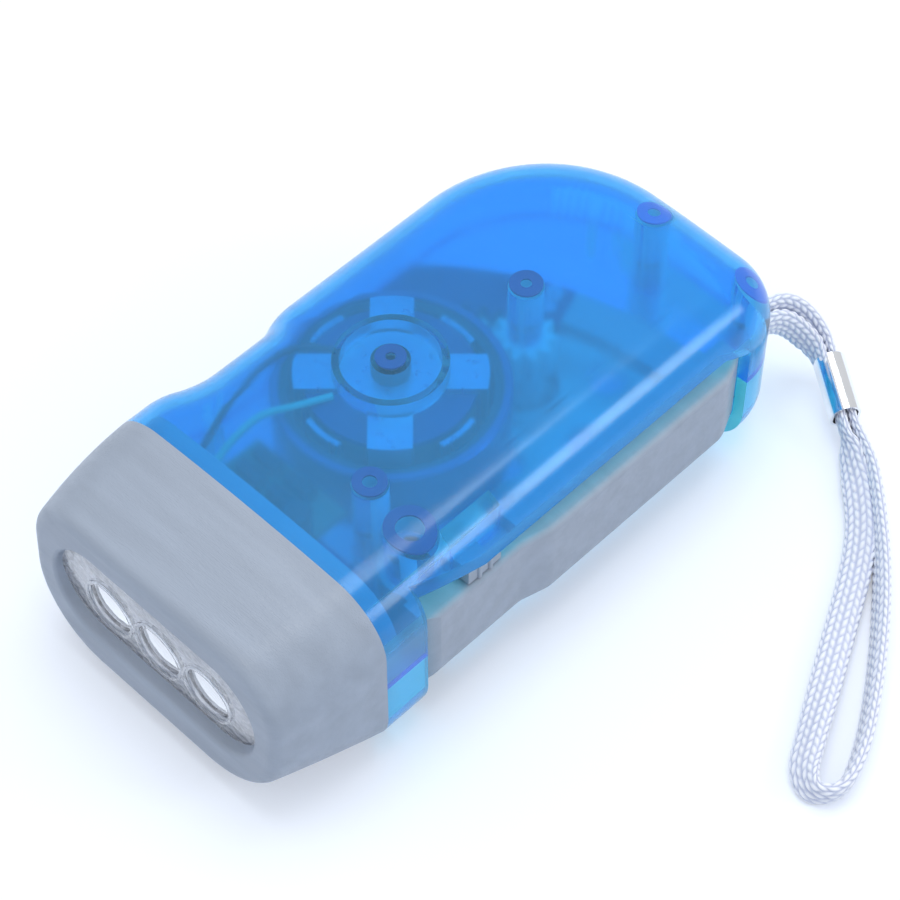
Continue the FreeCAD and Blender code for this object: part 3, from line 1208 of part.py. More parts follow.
def wire_routes():
    """Two coil leads that cross the flywheel rim under the roof, and the wire between the two boards."""
    on_flange = BOBBIN_TOP_Z + WIRE_RADIUS + FIT
    board_back = BOARD_Y + BOARD_THICKNESS
    board_top = LAMP_Z + BOARD_HALF_HEIGHT
    rectifier_top = rectifier_low() + RECTIFIER_THICKNESS
    (left, right), (front, back) = rectifier_range()
    beyond_rim = ROTOR_RADIUS + 2
    return {
        "lead_wire_a": [
            around_axle(8.6, 251, on_flange), around_axle(14.0, 249, on_flange + 0.2),
            around_axle(beyond_rim, 243, on_flange - 1.4), (left - 0.4, back - 5.2, board_top - 0.6),
            (left + 1.0, front - 1.2, board_top - 1.6), (left + 1.0, board_back, board_top - 1.6),
        ],
        "lead_wire_b": [
            around_axle(8.6, 197, on_flange), around_axle(14.0, 204, on_flange + 0.2),
            around_axle(beyond_rim, 216, on_flange - 1.6), (left - 4.8, back - 0.9, board_top + 0.2),
            (left - 3.2, front + 1.2, board_top - 2.6), (left - 1.8, front - 2.0, board_top - 5.0),
            (left - 1.8, board_back, board_top - 5.0),
        ],
        "cell_wire": [
            (left + 3.4, front + 1.2, rectifier_top), (left + 3.4, front + 1.2, rectifier_top + 2.0),
            (left + 4.8, front - 1.4, rectifier_top + 3.0), (left + 5.6, front - 3.6, rectifier_top + 1.6),
            (left + 5.6, board_back, rectifier_top + 1.6),
        ],
    }


def ferrule_ends():
    """Midway between the two strands, where each of them runs straight into and out of the sleeve."""
    return [(Vector(*STRAP_ROUTE[out]) + Vector(*STRAP_ROUTE[back])) * 0.5 for out, back in FERRULE_RUNS]


def oval_prism(centre, axes, half_width, half_height, length):
    """A flattened sleeve form: flat sides and round top and bottom."""
    along, across, up = axes
    flat = half_height - half_width
    start = centre - along * (length / 2)
    high = start + up * flat
    low = start - up * flat
    wire = Part.Wire([
        Part.Arc(high + across * half_width, high + up * half_width, high - across * half_width).toShape(),
        Part.LineSegment(high - across * half_width, low - across * half_width).toShape(),
        Part.Arc(low - across * half_width, low - up * half_width, low + across * half_width).toShape(),
        Part.LineSegment(low + across * half_width, high + across * half_width).toShape(),
    ])
    return Part.Face(wire).extrude(along * length)


def strap_ferrule():
    start, end = ferrule_ends()
    along = (end - start).normalize()
    across = along.cross(Vector(0, 0, 1)).normalize()
    axes = (along, across, across.cross(along).normalize())
    centre = (start + end) * 0.5
    outer = oval_prism(centre, axes, FERRULE_HALF_WIDTH, FERRULE_HALF_HEIGHT, FERRULE_LENGTH)
    inner = oval_prism(centre, axes, FERRULE_HALF_WIDTH - FERRULE_WALL, FERRULE_HALF_HEIGHT - FERRULE_WALL,
                       FERRULE_LENGTH)
    return outer.cut(inner)


def wrist_strap():
    solid, radii, length = tube(STRAP_ROUTE, STRAP_TUBE_RADIUS)
    section = math.pi * STRAP_TUBE_RADIUS ** 2
    print("strap length", round(length, 1), "volume share", round(solid.Volume / section / length, 4))
    print("strap bend radii", [round(radius, 1) for radius in radii])
    return solid


def build():
    shapes = {
        "upper_shell": upper_shell(),
        "lower_shell": lower_shell(),
        "head_bezel": head_bezel(),
        "front_lens": front_lens(),
        "reflector": reflector(),
        "led_board": led_board(),
        "squeeze_lever": squeeze_lever(),
        "sector_gear": sector_gear(),
        "sector_rivets": sector_rivets(),
        "lever_pivot_pin": lever_pivot_pin(),
        "return_spring": return_spring(),
        "lock_slider": lock_slider(),
        "drive_gear": drive_gear(),
        "sector_pinion": sector_pinion(),
        "ratchet_pawl": ratchet_pawl(),
        "gear_axle": gear_axle(),
        "flywheel": flywheel(),
        "ring_magnet": ring_magnet(),
        "flywheel_pinion": flywheel_pinion(),
        "flywheel_axle": flywheel_axle(),
        "upper_claw_plate": upper_claw_plate(),
        "lower_claw_plate": lower_claw_plate(),
        "coil_bobbin": coil_bobbin(),
        "coil_winding": coil_winding(),
        "shell_screws": shell_screws(),
        "cell_pack": cell_pack(),
        "cell_tabs": cell_tabs(),
        "rectifier_board": rectifier_board(),
        "rectifier_diodes": rectifier_diodes(),
        "storage_capacitor": storage_capacitor(),
        "strap_ferrule": strap_ferrule(),
        "wrist_strap": wrist_strap(),
    }
    for index, x in enumerate(led_places()):
        shapes[f"led_{index + 1}"] = led(x)
    for name, route in wire_routes().items():
        shapes[name] = tube(route, WIRE_RADIUS)[0]
    return shapes


def main():
    os.makedirs("parts", exist_ok=True)
    for name, shape in build().items():
        sound = shape.isValid() and shape.Volume > 0
        print(f"{name:18s} solids {len(shape.Solids)} volume {shape.Volume:9.1f} sound {sound}")
        shape.exportStep(f"parts/{name}.step")


main()
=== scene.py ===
import bpy
import math
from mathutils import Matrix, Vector
from mathutils.bvhtree import BVHTree


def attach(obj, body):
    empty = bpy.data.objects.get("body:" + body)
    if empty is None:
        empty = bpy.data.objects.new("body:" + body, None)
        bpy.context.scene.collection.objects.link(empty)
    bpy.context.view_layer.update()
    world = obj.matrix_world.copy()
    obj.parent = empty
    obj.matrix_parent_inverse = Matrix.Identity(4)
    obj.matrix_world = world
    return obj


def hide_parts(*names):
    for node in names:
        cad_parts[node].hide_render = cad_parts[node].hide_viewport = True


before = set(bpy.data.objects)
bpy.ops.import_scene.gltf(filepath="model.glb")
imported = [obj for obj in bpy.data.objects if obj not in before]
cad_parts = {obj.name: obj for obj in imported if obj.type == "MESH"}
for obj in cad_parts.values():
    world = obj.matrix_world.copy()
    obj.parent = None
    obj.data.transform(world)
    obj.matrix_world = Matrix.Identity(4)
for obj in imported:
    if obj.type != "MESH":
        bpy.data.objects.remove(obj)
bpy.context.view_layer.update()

MM = 0.001
NOISE_LOW = 0.3
NOISE_HIGH = 0.7
scene = bpy.context.scene
scene.view_settings.view_transform = "Standard"


# Camera at the photograph's viewing angle

CAMERA_AZIMUTH = math.radians(44.4)
CAMERA_ELEVATION = math.radians(52.6)
CAMERA_TARGET = Vector((8.387, -3.178, 25.6)) * MM
CAMERA_DISTANCE = 358.3 * MM
CAMERA_LENS = 108.92

toward_camera = Vector((
    math.sin(CAMERA_AZIMUTH) * math.cos(CAMERA_ELEVATION),
    -math.cos(CAMERA_AZIMUTH) * math.cos(CAMERA_ELEVATION),
    math.sin(CAMERA_ELEVATION),
))
camera_data = bpy.data.cameras.new("camera")
camera_data.lens = CAMERA_LENS
camera_data.sensor_width = 36
camera = bpy.data.objects.new("camera", camera_data)
camera.location = CAMERA_TARGET + toward_camera * CAMERA_DISTANCE
camera.rotation_mode = "QUATERNION"
camera.rotation_quaternion = (-toward_camera).to_track_quat("-Z", "Y")
camera_data.clip_start = 0.01
camera_data.clip_end = 20
scene.collection.objects.link(camera)
scene.camera = camera


# Small helpers

def add_object(name, mesh, body="torch"):
    piece = bpy.data.objects.new(name, mesh)
    scene.collection.objects.link(piece)
    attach(piece, body)
    return piece


def new_material(name, color, roughness=0.5, metallic=0.0, transmission=0.0, ior=1.45):
    made = bpy.data.materials.new(name)
    made.use_nodes = True
    shader = made.node_tree.nodes["Principled BSDF"]
    shader.inputs["Base Color"].default_value = (*color, 1)
    shader.inputs["Roughness"].default_value = roughness
    shader.inputs["Metallic"].default_value = metallic
    shader.inputs["Transmission Weight"].default_value = transmission
    shader.inputs["IOR"].default_value = ior
    return made


def node(made, kind, **inputs):
    new = made.node_tree.nodes.new(kind)
    for name, value in inputs.items():
        new.inputs[name.replace("_", " ")].default_value = value
    return new


def link(made, start, end):
    made.node_tree.links.new(start, end)


def shader_of(made):
    return made.node_tree.nodes["Principled BSDF"]


def noise(made, scale, detail=3.0, stretch=(1, 1, 1)):
    """A noise in the object's own coordinates; scale is features per metre."""
    place = node(made, "ShaderNodeTexCoord")
    mapping = node(made, "ShaderNodeMapping", Scale=stretch)
    texture = node(made, "ShaderNodeTexNoise", Scale=scale, Detail=detail, Roughness=0.5)
    link(made, place.outputs["Object"], mapping.inputs["Vector"])
    link(made, mapping.outputs["Vector"], texture.inputs["Vector"])
    return texture.outputs["Fac"]


def spread(made, value, low, high):
    """Maps the common range of a noise onto the range low to high."""
    ranged = node(made, "ShaderNodeMapRange")
    ranged.inputs["From Min"].default_value = NOISE_LOW
    ranged.inputs["From Max"].default_value = NOISE_HIGH
    ranged.inputs["To Min"].default_value = low
    ranged.inputs["To Max"].default_value = high
    link(made, value, ranged.inputs["Value"])
    return ranged.outputs["Result"]


def tinted(made, value, low, high, from_low=NOISE_LOW, from_high=NOISE_HIGH):
    """Varies the base colour between two colours by a noise."""
    ramp = node(made, "ShaderNodeValToRGB")
    ramp.color_ramp.elements[0].position = from_low
    ramp.color_ramp.elements[0].color = (*low, 1)
    ramp.color_ramp.elements[1].position = from_high
    ramp.color_ramp.elements[1].color = (*high, 1)
    link(made, value, ramp.inputs["Fac"])
    link(made, ramp.outputs["Color"], shader_of(made).inputs["Base Color"])


def bumped(made, value, strength, distance):
    bump = node(made, "ShaderNodeBump", Strength=strength, Distance=distance)
    link(made, value, bump.inputs["Height"])
    link(made, bump.outputs["Normal"], shader_of(made).inputs["Normal"])


def roughened(made, value, low, high):
    link(made, spread(made, value, low, high), shader_of(made).inputs["Roughness"])


def worn(name, base, roughness, noise_scale, spread_by, metallic=0.0, rough=(0.3, 0.5),
         bump=(0.15, 0.00005), stretch=(1, 1, 1)):
    """The common finish: slight change of colour and roughness, and a fine grain."""
    made = new_material(name, base, roughness, metallic)
    dark = [c * (1 - spread_by) for c in base]
    light = [min(1, c * (1 + spread_by)) for c in base]
    tinted(made, noise(made, noise_scale * 0.2, stretch=stretch), dark, light)
    roughened(made, noise(made, noise_scale, stretch=stretch), *rough)
    bumped(made, noise(made, noise_scale * 4, stretch=stretch), *bump)
    return made


def lets_light_in(made, color):
    """Light reaches what is behind the surface, tinted by its colour."""
    nodes = made.node_tree.nodes
    output = nodes["Material Output"]
    path = node(made, "ShaderNodeLightPath")
    either = node(made, "ShaderNodeMath")
    either.operation = "MAXIMUM"
    clear = node(made, "ShaderNodeBsdfTransparent", Color=(*color, 1))
    mix = node(made, "ShaderNodeMixShader")
    link(made, path.outputs["Is Shadow Ray"], either.inputs[0])
    link(made, path.outputs["Is Diffuse Ray"], either.inputs[1])
    link(made, either.outputs[0], mix.inputs["Fac"])
    link(made, shader_of(made).outputs["BSDF"], mix.inputs[1])
    link(made, clear.outputs["BSDF"], mix.inputs[2])
    link(made, mix.outputs["Shader"], output.inputs["Surface"])
    return made


# Wrist strap: a flat braid that goes out through the tail, through its sleeve, and back

STRAP_ROUTE = [
    (19.0, 47.2, 15.8), (19.05, 50.8, 15.4), (20.5, 54.6, 12.0), (24.4, 57.2, 6.1), (33.5, 51.2, 4.1),
    (37.6, 48.6, 2.8), (41.5, 45.3, 1.9), (46.1, 40.7, 1.4), (50.4, 34.0, 1.3), (54.8, 25.3, 1.4),
    (59.3, 16.5, 1.7), (63.2, 8.9, 2.2), (65.6, 4.1, 2.4), (69.0, 2.2, 2.4), (71.6, 5.2, 2.4),
    (69.6, 11.4, 2.4), (65.4, 18.9, 2.4), (60.0, 27.1, 2.4), (54.2, 34.9, 2.4), (48.3, 41.7, 2.4),
    (42.2, 47.7, 2.8), (38.3, 50.4, 3.3), (34.3, 52.4, 4.0), (25.2, 58.5, 6.2), (20.9, 58.2, 10.4),
    (18.2, 55.4, 14.4), (17.45, 51.2, 16.1), (17.4, 47.2, 16.2),
]
STRAP_WIDTH = 4.6 * MM
STRAP_THICKNESS = 1.8 * MM
BRAID_COLUMN = 0.95 * MM
BRAID_STITCH = 1.5 * MM
BRAID_RELIEF = 0.32 * MM
BRAID_SLANT = 0.55
AROUND = 84
ALONG = 0.2 * MM
FLOOR_GAP = 0.06 * MM

# Place along the strap, direction of its width, share of its width and of its thickness
STRAP_LAY = [
    (0.0, (0, 0, 1), 0.95, 0.86), (0.07, (0.1, 0, 1), 1.0, 0.95), (0.115, (0, 0, 1), 0.84, 0.8),
    (0.15, (0, 0, 1), 0.8, 0.76), (0.172, (0.6, 0.4, 0.7), 0.95, 0.9), (0.20, (0.84, 0.54, 0.3), 1.0, 1.0),
    (0.36, (0.84, 0.54, 0.1), 1.0, 1.0), (0.44, (0.8, 0.45, 0.5), 1.0, 1.0),
    (0.50, (0.2, 0.1, 1), 1.0, 1.0), (0.55, (0.3, 0.1, 1), 1.0, 1.0),
    (0.66, (0.3, 0.2, 1), 1.0, 1.0), (0.78, (0.1, 0.1, 1), 1.0, 1.0),
    (0.83, (0, 0, 1), 0.8, 0.76), (0.875, (0, 0, 1), 0.84, 0.8), (0.93, (0.1, 0, 1), 1.0, 0.95),
    (1.0, (0, 0, 1), 0.95, 0.86),
]
MIDDLE_HEIGHT = 0.9
SECTION_POWER = 0.75
STITCH_POWER = 0.6


def spline_points(route, name):
    """Points along the smooth line that has the route as its control points."""
    curve = bpy.data.curves.new(name, "CURVE")
    curve.dimensions = "3D"
    curve.resolution_u = 24
    spline = curve.splines.new("NURBS")
    spline.points.add(len(route) - 1)
    for point, place in zip(spline.points, route):
        point.co = (place[0] * MM, place[1] * MM, place[2] * MM, 1)
    spline.order_u = 3
    spline.use_endpoint_u = True
    holder = bpy.data.objects.new(name, curve)
    scene.collection.objects.link(holder)
    bpy.context.view_layer.update()
    mesh = bpy.data.meshes.new_from_object(holder.evaluated_get(bpy.context.evaluated_depsgraph_get()))
    points = [vertex.co.copy() for vertex in mesh.vertices]
    bpy.data.objects.remove(holder)
    bpy.data.curves.remove(curve)
    bpy.data.meshes.remove(mesh)
    return points


def resample(points, step):
    """Evenly spaced points along a line, with the share of the length at each."""
    lengths = [0.0]
    for before, after in zip(points, points[1:]):
        lengths.append(lengths[-1] + (after - before).length)
    total = lengths[-1]
    count = max(2, round(total / step))
    placed = []
    segment = 0
    for index in range(count + 1):
        reach = total * index / count
        while segment < len(points) - 2 and lengths[segment + 1] < reach:
            segment += 1
        span = lengths[segment + 1] - lengths[segment]
        share = (reach - lengths[segment]) / span if span else 0
        placed.append((points[segment].lerp(points[segment + 1], share), reach / total))
    return placed, total


def smooth_step(value):
    return value * value * (3 - 2 * value)


def lay_at(share):
    """Direction of the strap's width, and shares of its width and thickness, at a place along it."""
    for before, after in zip(STRAP_LAY, STRAP_LAY[1:]):
        if share <= after[0]:
            blend = smooth_step((share - before[0]) / (after[0] - before[0]))
            width_way = Vector(before[1]).normalized().lerp(Vector(after[1]).normalized(), blend)
            width_share = before[2] + (after[2] - before[2]) * blend
            thick_share = before[3] + (after[3] - before[3]) * blend
            return width_way, width_share, thick_share
    return Vector(STRAP_LAY[-1][1]), STRAP_LAY[-1][2], STRAP_LAY[-1][3]


def braid_height(around, along):
    """Height of the braid over its ground: rows of oval stitches, each row half a stitch from the next."""
    column = math.floor(around)
    across = around - column - 0.5
    phase = along + (0.5 if column % 2 else 0.0) + across * (BRAID_SLANT if column % 2 else -BRAID_SLANT)
    lengthwise = abs(math.cos(math.pi * phase)) ** STITCH_POWER
    crosswise = max(0.0, math.cos(math.pi * across)) ** STITCH_POWER
    return lengthwise * crosswise


def braid_mesh(name, points):
    """The strap's mesh, its middle line and its length."""
    placed, total = resample(points, ALONG)
    outline = []
    for index in range(AROUND):
        angle = 2 * math.pi * index / AROUND
        x = math.copysign(abs(math.cos(angle)) ** SECTION_POWER, math.cos(angle))
        y = math.copysign(abs(math.sin(angle)) ** SECTION_POWER, math.sin(angle))
        outline.append((x, y))
    perimeter = [0.0]
    for index in range(AROUND):
        here = outline[index]
        following = outline[(index + 1) % AROUND]
        wide = (following[0] - here[0]) * STRAP_WIDTH
        thick = (following[1] - here[1]) * STRAP_THICKNESS
        perimeter.append(perimeter[-1] + math.hypot(wide, thick) / 2)
    columns = 2 * round(perimeter[-1] / BRAID_COLUMN / 2)
    vertices = []
    faces = []
    path = []
    heights = []
    for row, (point, share) in enumerate(placed):
        before = placed[max(0, row - 1)][0]
        after = placed[min(len(placed) - 1, row + 1)][0]
        tangent = (after - before).normalized()
        width_way, width_share, thick_share = lay_at(share)
        width_way = (width_way - tangent * width_way.dot(tangent)).normalized()
        thick_way = tangent.cross(width_way)
        section = []
        for index, (x, y) in enumerate(outline):
            height = braid_height(perimeter[index] / perimeter[-1] * columns, share * total / BRAID_STITCH)
            heights.append(height)
            outward = Vector((x / STRAP_WIDTH, y / STRAP_THICKNESS)).normalized()
            lift = (height - MIDDLE_HEIGHT) * BRAID_RELIEF
            section.append(
                point
                + width_way * (x * STRAP_WIDTH / 2 * width_share + outward.x * lift)
                + thick_way * (y * STRAP_THICKNESS / 2 * thick_share + outward.y * lift)
            )
        lowest = min(
            width_way.z * x * STRAP_WIDTH / 2 * width_share
            + thick_way.z * y * STRAP_THICKNESS / 2 * thick_share
            for x, y in outline
        )
        rise = Vector((0, 0, max(0, FLOOR_GAP - point.z - lowest)))
        vertices.extend(corner + rise for corner in section)
        path.append(point + rise)
    for row in range(len(placed) - 1):
        for index in range(AROUND):
            here = row * AROUND + index
            following = row * AROUND + (index + 1) % AROUND
            faces.append((here, following, following + AROUND, here + AROUND))
    faces.append(tuple(reversed(range(AROUND))))
    faces.append(tuple(range(len(vertices) - AROUND, len(vertices))))
    mesh = bpy.data.meshes.new(name)
    mesh.from_pydata(vertices, [], faces)
    mesh.attributes.new("stitch", "FLOAT", "POINT").data.foreach_set("value", heights)
    for polygon in mesh.polygons:
        polygon.use_smooth = len(polygon.vertices) == 4
    mesh.update()
    return mesh, path, total


strap_mesh, strap_path, strap_length = braid_mesh("strap_braid", spline_points(STRAP_ROUTE, "strap_line"))
strap = add_object("strap_braid", strap_mesh)
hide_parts("wrist_strap")


# Materials

SHELL_TINT = (0.34, 0.90, 1.0)
OUTER_COLOR = (0.06, 0.49, 1.0)
INNER_COLOR = (0.55, 0.96, 1.0)
LOWER_COLOR = (0.20, 0.94, 1.0)
POST_COLOR = (0.55, 0.80, 1.0)

shell_gloss = new_material("shell_gloss", OUTER_COLOR, 0.17, transmission=0.84, ior=1.49)
roughened(shell_gloss, noise(shell_gloss, 120, 4), 0.13, 0.20)
bumped(shell_gloss, noise(shell_gloss, 900, 2), 0.04, 0.00002)
lets_light_in(shell_gloss, SHELL_TINT)

shell_frost = new_material("shell_frost", INNER_COLOR, 0.42, transmission=0.95, ior=1.49)
roughened(shell_frost, noise(shell_frost, 160), 0.36, 0.48)
bumped(shell_frost, noise(shell_frost, 5000, 2), 0.15, 0.00003)
lets_light_in(shell_frost, SHELL_TINT)

shell_milky = new_material("shell_milky", LOWER_COLOR, 0.42, transmission=0.25, ior=1.49)
roughened(shell_milky, noise(shell_milky, 160), 0.36, 0.48)
bumped(shell_milky, noise(shell_milky, 5000, 2), 0.15, 0.00003)
lets_light_in(shell_milky, SHELL_TINT)

shell_post = new_material("shell_post", POST_COLOR, 0.45, transmission=0.10, ior=1.49)
bumped(shell_post, noise(shell_post, 3000, 2), 0.15, 0.00003)
lets_light_in(shell_post, SHELL_TINT)

boss_violet = worn("boss_violet", (0.26, 0.16, 0.68), 0.5, 900, 0.08)
boss_navy = worn("boss_navy", (0.08, 0.05, 0.28), 0.5, 900, 0.10)

# Grey plastic with a painted blue cast that stands in for light reflected from the shell and for blue
# shade; the grain and roughness change are real.
grey_blue_cast = worn("grey_plastic", (0.32, 0.375, 0.465), 0.4, 1600, 0.07, rough=(0.30, 0.46),
            bump=(0.5, 0.00012), stretch=(0.12, 1, 1))
lens = new_material("clear_lens", (0.97, 0.985, 1.0), 0.02, transmission=1.0, ior=1.49)
bumped(lens, noise(lens, 700, 2), 0.08, 0.00003)
lets_light_in(lens, (0.97, 0.98, 1.0))
# Near-white base with little metal: painted light and reflection that stand in for the mirror sheen of a
# reflector in the shaded mouth; the facets are bumps.
painted_bright_reflector = new_material("bright_reflector", (0.94, 0.95, 0.98), 0.2, 0.15)
tinted(painted_bright_reflector, noise(painted_bright_reflector, 500), (0.88, 0.89, 0.95), (0.97, 0.98, 1.0))
facets = node(painted_bright_reflector, "ShaderNodeTexVoronoi", Scale=1100)
place = node(painted_bright_reflector, "ShaderNodeTexCoord")
link(painted_bright_reflector, place.outputs["Object"], facets.inputs["Vector"])
bumped(painted_bright_reflector, facets.outputs["Distance"], 0.9, 0.0006)
lamp = new_material("lamp_clear", (0.98, 0.99, 1.0), 0.04, transmission=0.75, ior=1.5)
roughened(lamp, noise(lamp, 500), 0.03, 0.12)
lets_light_in(lamp, (0.9, 0.92, 0.95))
board = worn("board", (0.05, 0.16, 0.1), 0.4, 500, 0.2)
# Dark plastic tinted blue: painted blue light that stands in for the light the milky shell scatters over
# the dark parts.
dark = worn("dark_plastic", (0.03, 0.03, 0.17), 0.4, 500, 0.2)
white = worn("white_plastic", (0.8, 0.82, 0.85), 0.4, 500, 0.05)
steel = worn("steel", (0.7, 0.72, 0.75), 0.3, 700, 0.08, metallic=1.0, rough=(0.25, 0.4),
             bump=(0.1, 0.00002), stretch=(1, 1, 0.1))
# Rotor steel tinted blue: painted blue light that stands in for the light the milky shell scatters over it.
rotor_steel = worn("rotor_steel", (0.12, 0.13, 0.32), 0.4, 500, 0.15, metallic=0.6)
magnet = worn("magnet", (0.05, 0.05, 0.06), 0.5, 600, 0.2)
copper = worn("copper", (0.35, 0.14, 0.08), 0.35, 900, 0.2, metallic=0.7, rough=(0.25, 0.4),
              bump=(0.5, 0.0001), stretch=(0.05, 0.05, 6))
cell_sleeve = worn("cell_sleeve", (0.03, 0.04, 0.34), 0.3, 400, 0.2)
black = worn("part_black", (0.02, 0.02, 0.025), 0.35, 500, 0.2)
wire_green = worn("wire_green", (0.05, 0.6, 0.45), 0.4, 500, 0.1)
wire_red = worn("wire_red", (0.5, 0.03, 0.03), 0.4, 500, 0.1)
chrome = worn("ferrule_chrome", (0.85, 0.86, 0.88), 0.08, 800, 0.03, metallic=1.0, rough=(0.10, 0.20),
              bump=(0.08, 0.00003))

THREAD_SHARE = 0.25
fabric = new_material("strap_fabric", (0.74, 0.78, 0.88), 0.8)
shader_of(fabric).inputs["Sheen Weight"].default_value = 0.3
shader_of(fabric).inputs["Sheen Roughness"].default_value = 0.4
# The stitch height darkens the grooves and lightens the stitch tops: painted shade and painted light; the
# noise adds a random thread tone.
stitch = node(fabric, "ShaderNodeAttribute")
stitch.attribute_name = "stitch"
thread_tone_and_groove_shade = node(fabric, "ShaderNodeMath")
thread_tone_and_groove_shade.operation = "MULTIPLY_ADD"
thread_tone_and_groove_shade.inputs[1].default_value = THREAD_SHARE
link(fabric, noise(fabric, 6000, 4), thread_tone_and_groove_shade.inputs[0])
link(fabric, stitch.outputs["Fac"], thread_tone_and_groove_shade.inputs[2])
tinted(fabric, thread_tone_and_groove_shade.outputs[0], (0.56, 0.61, 0.80), (0.90, 0.93, 1.0), 0.25, 1.0)
bumped(fabric, noise(fabric, 9000), 0.5, 0.00008)

FINISH = {
    "head_bezel": grey_blue_cast, "squeeze_lever": grey_blue_cast, "front_lens": lens, "reflector": painted_bright_reflector, "led_1": lamp,
    "led_2": lamp, "led_3": lamp, "led_board": board, "rectifier_board": board, "sector_gear": dark,
    "ratchet_pawl": dark, "drive_gear": white, "sector_pinion": white, "flywheel_pinion": white,
    "coil_bobbin": dark, "lever_pivot_pin": steel, "return_spring": steel, "gear_axle": steel,
    "flywheel_axle": steel, "upper_claw_plate": steel, "lower_claw_plate": steel, "shell_screws": steel,
    "cell_tabs": steel, "sector_rivets": steel, "flywheel": rotor_steel, "ring_magnet": magnet,
    "coil_winding": copper, "cell_pack": cell_sleeve, "rectifier_diodes": black, "storage_capacitor": black,
    "lead_wire_a": wire_green, "lead_wire_b": wire_red, "cell_wire": wire_red, "strap_ferrule": chrome,
    "lock_slider": grey_blue_cast,
}
for name, finish in FINISH.items():
    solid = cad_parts[name]
    solid.data.materials.clear()
    solid.data.materials.append(finish)
strap_mesh.materials.append(fabric)


# Posts under the roof: x, y, outer and inner radius in millimetres, and the finish of the root ring

BOSSES = {
    "front": (7.7, -17.15, 2.5, 1.0, boss_navy),
    "tail_middle": (2.6, 42.95, 2.5, 0.9, boss_violet),
    "tail_corner": (19.3, 44.25, 2.5, 0.9, boss_violet),
    "lever": (16.3, -18.55, 3.6, 1.9, boss_navy),
    "gear": (-0.9163, 21.0712, 2.5, 0.8, boss_navy),
    "flywheel": (-5.0, -0.75, 2.3, 0.7, boss_navy),
}
POST_SIDE_GAP = 0.15 * MM
FACE_GAP = 0.02 * MM
LONGEST_LOOK = 0.3
STEEP_FACE = 0.3


def on_post(place):
    """Whether a place is on the side of one of the posts under the roof."""
    for x, y, outer, _, _ in BOSSES.values():
        if abs(math.hypot(place.x - x * MM, place.y - y * MM) - outer * MM) < POST_SIDE_GAP:
            return True
    return False


def shell_finish(solid, inside):
    """Polished faces look outward, frosted ones look into the body, and the posts are milky."""
    mesh = solid.data
    mesh.materials.clear()
    for finish in (shell_gloss, inside, shell_post):
        mesh.materials.append(finish)
    tree = BVHTree.FromPolygons([v.co for v in mesh.vertices], [tuple(p.vertices) for p in mesh.polygons])
    for polygon in mesh.polygons:
        start = polygon.center + polygon.normal * FACE_GAP
        hit = tree.ray_cast(start, polygon.normal, LONGEST_LOOK)[0]
        if hit is None:
            polygon.material_index = 0
        elif abs(polygon.normal.z) < STEEP_FACE and on_post(polygon.center):
            polygon.material_index = 2
        else:
            polygon.material_index = 1
    return tree


upper_tree = shell_finish(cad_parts["upper_shell"], shell_frost)
shell_finish(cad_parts["lower_shell"], shell_milky)


# The thick roots of the posts, which show through the roof as rings

RING_DEPTH = 0.7 * MM
RING_THICKNESS = 0.5 * MM
RING_STEPS = 40
RING_INSET = 0.15
ABOVE_ROOF = 0.05


def root_ring(name, x, y, outer, inner, finish):
    mesh = bpy.data.meshes.new(name)
    vertices = []
    faces = []
    middle = (outer + inner) / 2
    for step in range(RING_STEPS):
        angle = 2 * math.pi * step / RING_STEPS
        for radius, depth in ((inner, 0), (middle, 0), (outer, 0), (outer, 1), (middle, 1), (inner, 1)):
            place = Vector((x + radius * math.cos(angle), y + radius * math.sin(angle), 0)) * MM
            roof = upper_tree.ray_cast(Vector((place.x, place.y, ABOVE_ROOF)), Vector((0, 0, -1)))[0]
            vertices.append((place.x, place.y, roof.z - RING_DEPTH - depth * RING_THICKNESS))
    for step in range(RING_STEPS):
        here = step * 6
        following = (step + 1) % RING_STEPS * 6
        for side in range(6):
            beside = (side + 1) % 6
            faces.append((here + side, following + side, following + beside, here + beside))
    mesh.from_pydata(vertices, [], faces)
    mesh.materials.append(finish)
    ring = add_object(name, mesh)


for name, (x, y, outer, inner, finish) in BOSSES.items():
    root_ring("post_root_" + name, x, y, outer - RING_INSET, inner, finish)


# Floor, light and world

FLOOR_HALF = 3.0
# The floor's bluish colour shows in its shadows, where the white glow no longer drowns it: painted blue
# shade.
FLOOR_BLUE_SHADE_COLOR = (0.68, 0.74, 0.84)
FLOOR_GLOW = 0.30
WORLD_COLOR = (0.95, 0.97, 1.0)
WORLD_LIGHT = 0.75


def plane(name, half, height):
    mesh = bpy.data.meshes.new(name)
    corners = [(-half, -half, height), (half, -half, height), (half, half, height), (-half, half, height)]
    mesh.from_pydata(corners, [], [(0, 1, 2, 3)])
    flat = bpy.data.objects.new(name, mesh)
    scene.collection.objects.link(flat)
    return flat


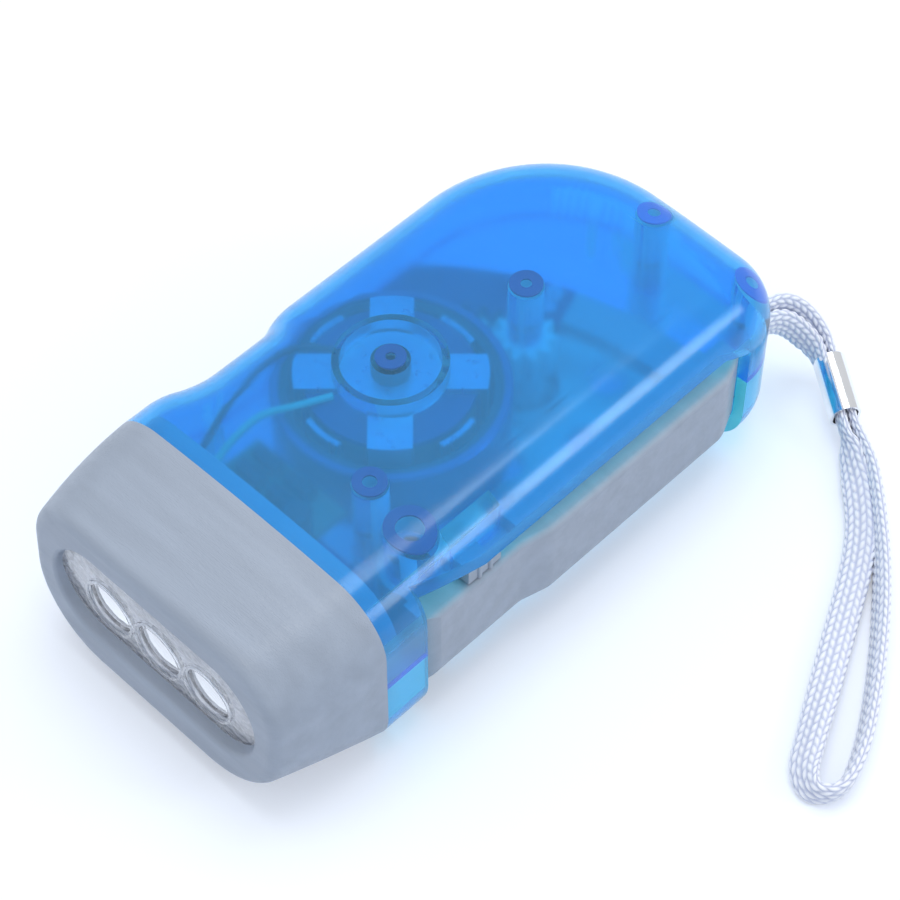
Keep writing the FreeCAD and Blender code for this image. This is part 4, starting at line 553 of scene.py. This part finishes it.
def seen_rays(tree):
    """One where the surface is seen, straight or in glass or metal, and zero for light on the object."""
    path = tree.nodes.new("ShaderNodeLightPath")
    first = tree.nodes.new("ShaderNodeMath")
    first.operation = "MAXIMUM"
    second = tree.nodes.new("ShaderNodeMath")
    second.operation = "MAXIMUM"
    tree.links.new(path.outputs["Is Camera Ray"], first.inputs[0])
    tree.links.new(path.outputs["Is Glossy Ray"], first.inputs[1])
    tree.links.new(first.outputs[0], second.inputs[0])
    tree.links.new(path.outputs["Is Transmission Ray"], second.inputs[1])
    return second.outputs[0]


floor = plane("floor", FLOOR_HALF, 0.0)
floor_material = bpy.data.materials.new("floor")
floor_material.use_nodes = True
tree = floor_material.node_tree
tree.nodes.clear()
output = tree.nodes.new("ShaderNodeOutputMaterial")
diffuse = tree.nodes.new("ShaderNodeBsdfDiffuse")
diffuse.inputs["Color"].default_value = (*FLOOR_BLUE_SHADE_COLOR, 1)
glow = tree.nodes.new("ShaderNodeEmission")
glow.inputs["Color"].default_value = (1.0, 1.0, 1.0, 1)
times = tree.nodes.new("ShaderNodeMath")
times.operation = "MULTIPLY"
times.inputs[1].default_value = FLOOR_GLOW
add = tree.nodes.new("ShaderNodeAddShader")
tree.links.new(seen_rays(tree), times.inputs[0])
tree.links.new(times.outputs[0], glow.inputs["Strength"])
tree.links.new(diffuse.outputs[0], add.inputs[0])
tree.links.new(glow.outputs[0], add.inputs[1])
tree.links.new(add.outputs[0], output.inputs["Surface"])
floor.data.materials.append(floor_material)

world = bpy.data.worlds.new("world")
scene.world = world
world.use_nodes = True
background = world.node_tree.nodes["Background"]
background.inputs["Color"].default_value = (*WORLD_COLOR, 1)
background.inputs["Strength"].default_value = WORLD_LIGHT


def soft_light(name, way, distance, side, power):
    """A square lamp that lights the object's origin from a direction."""
    data = bpy.data.lights.new(name, "AREA")
    data.size = side
    data.energy = power
    holder = bpy.data.objects.new(name, data)
    way = Vector(way).normalized()
    holder.location = way * distance
    holder.rotation_mode = "QUATERNION"
    holder.rotation_quaternion = way.to_track_quat("Z", "Y")
    scene.collection.objects.link(holder)


soft_light("key", way=(-0.05, 0.10, 1.0), distance=0.8, side=0.5, power=2.4)
soft_light("fill", way=(-0.6, -0.55, 0.6), distance=0.9, side=0.5, power=0.3)
soft_light("rim", way=(0.745, 0.434, 0.50), distance=0.7, side=0.20, power=0.6)

bpy.context.view_layer.update()
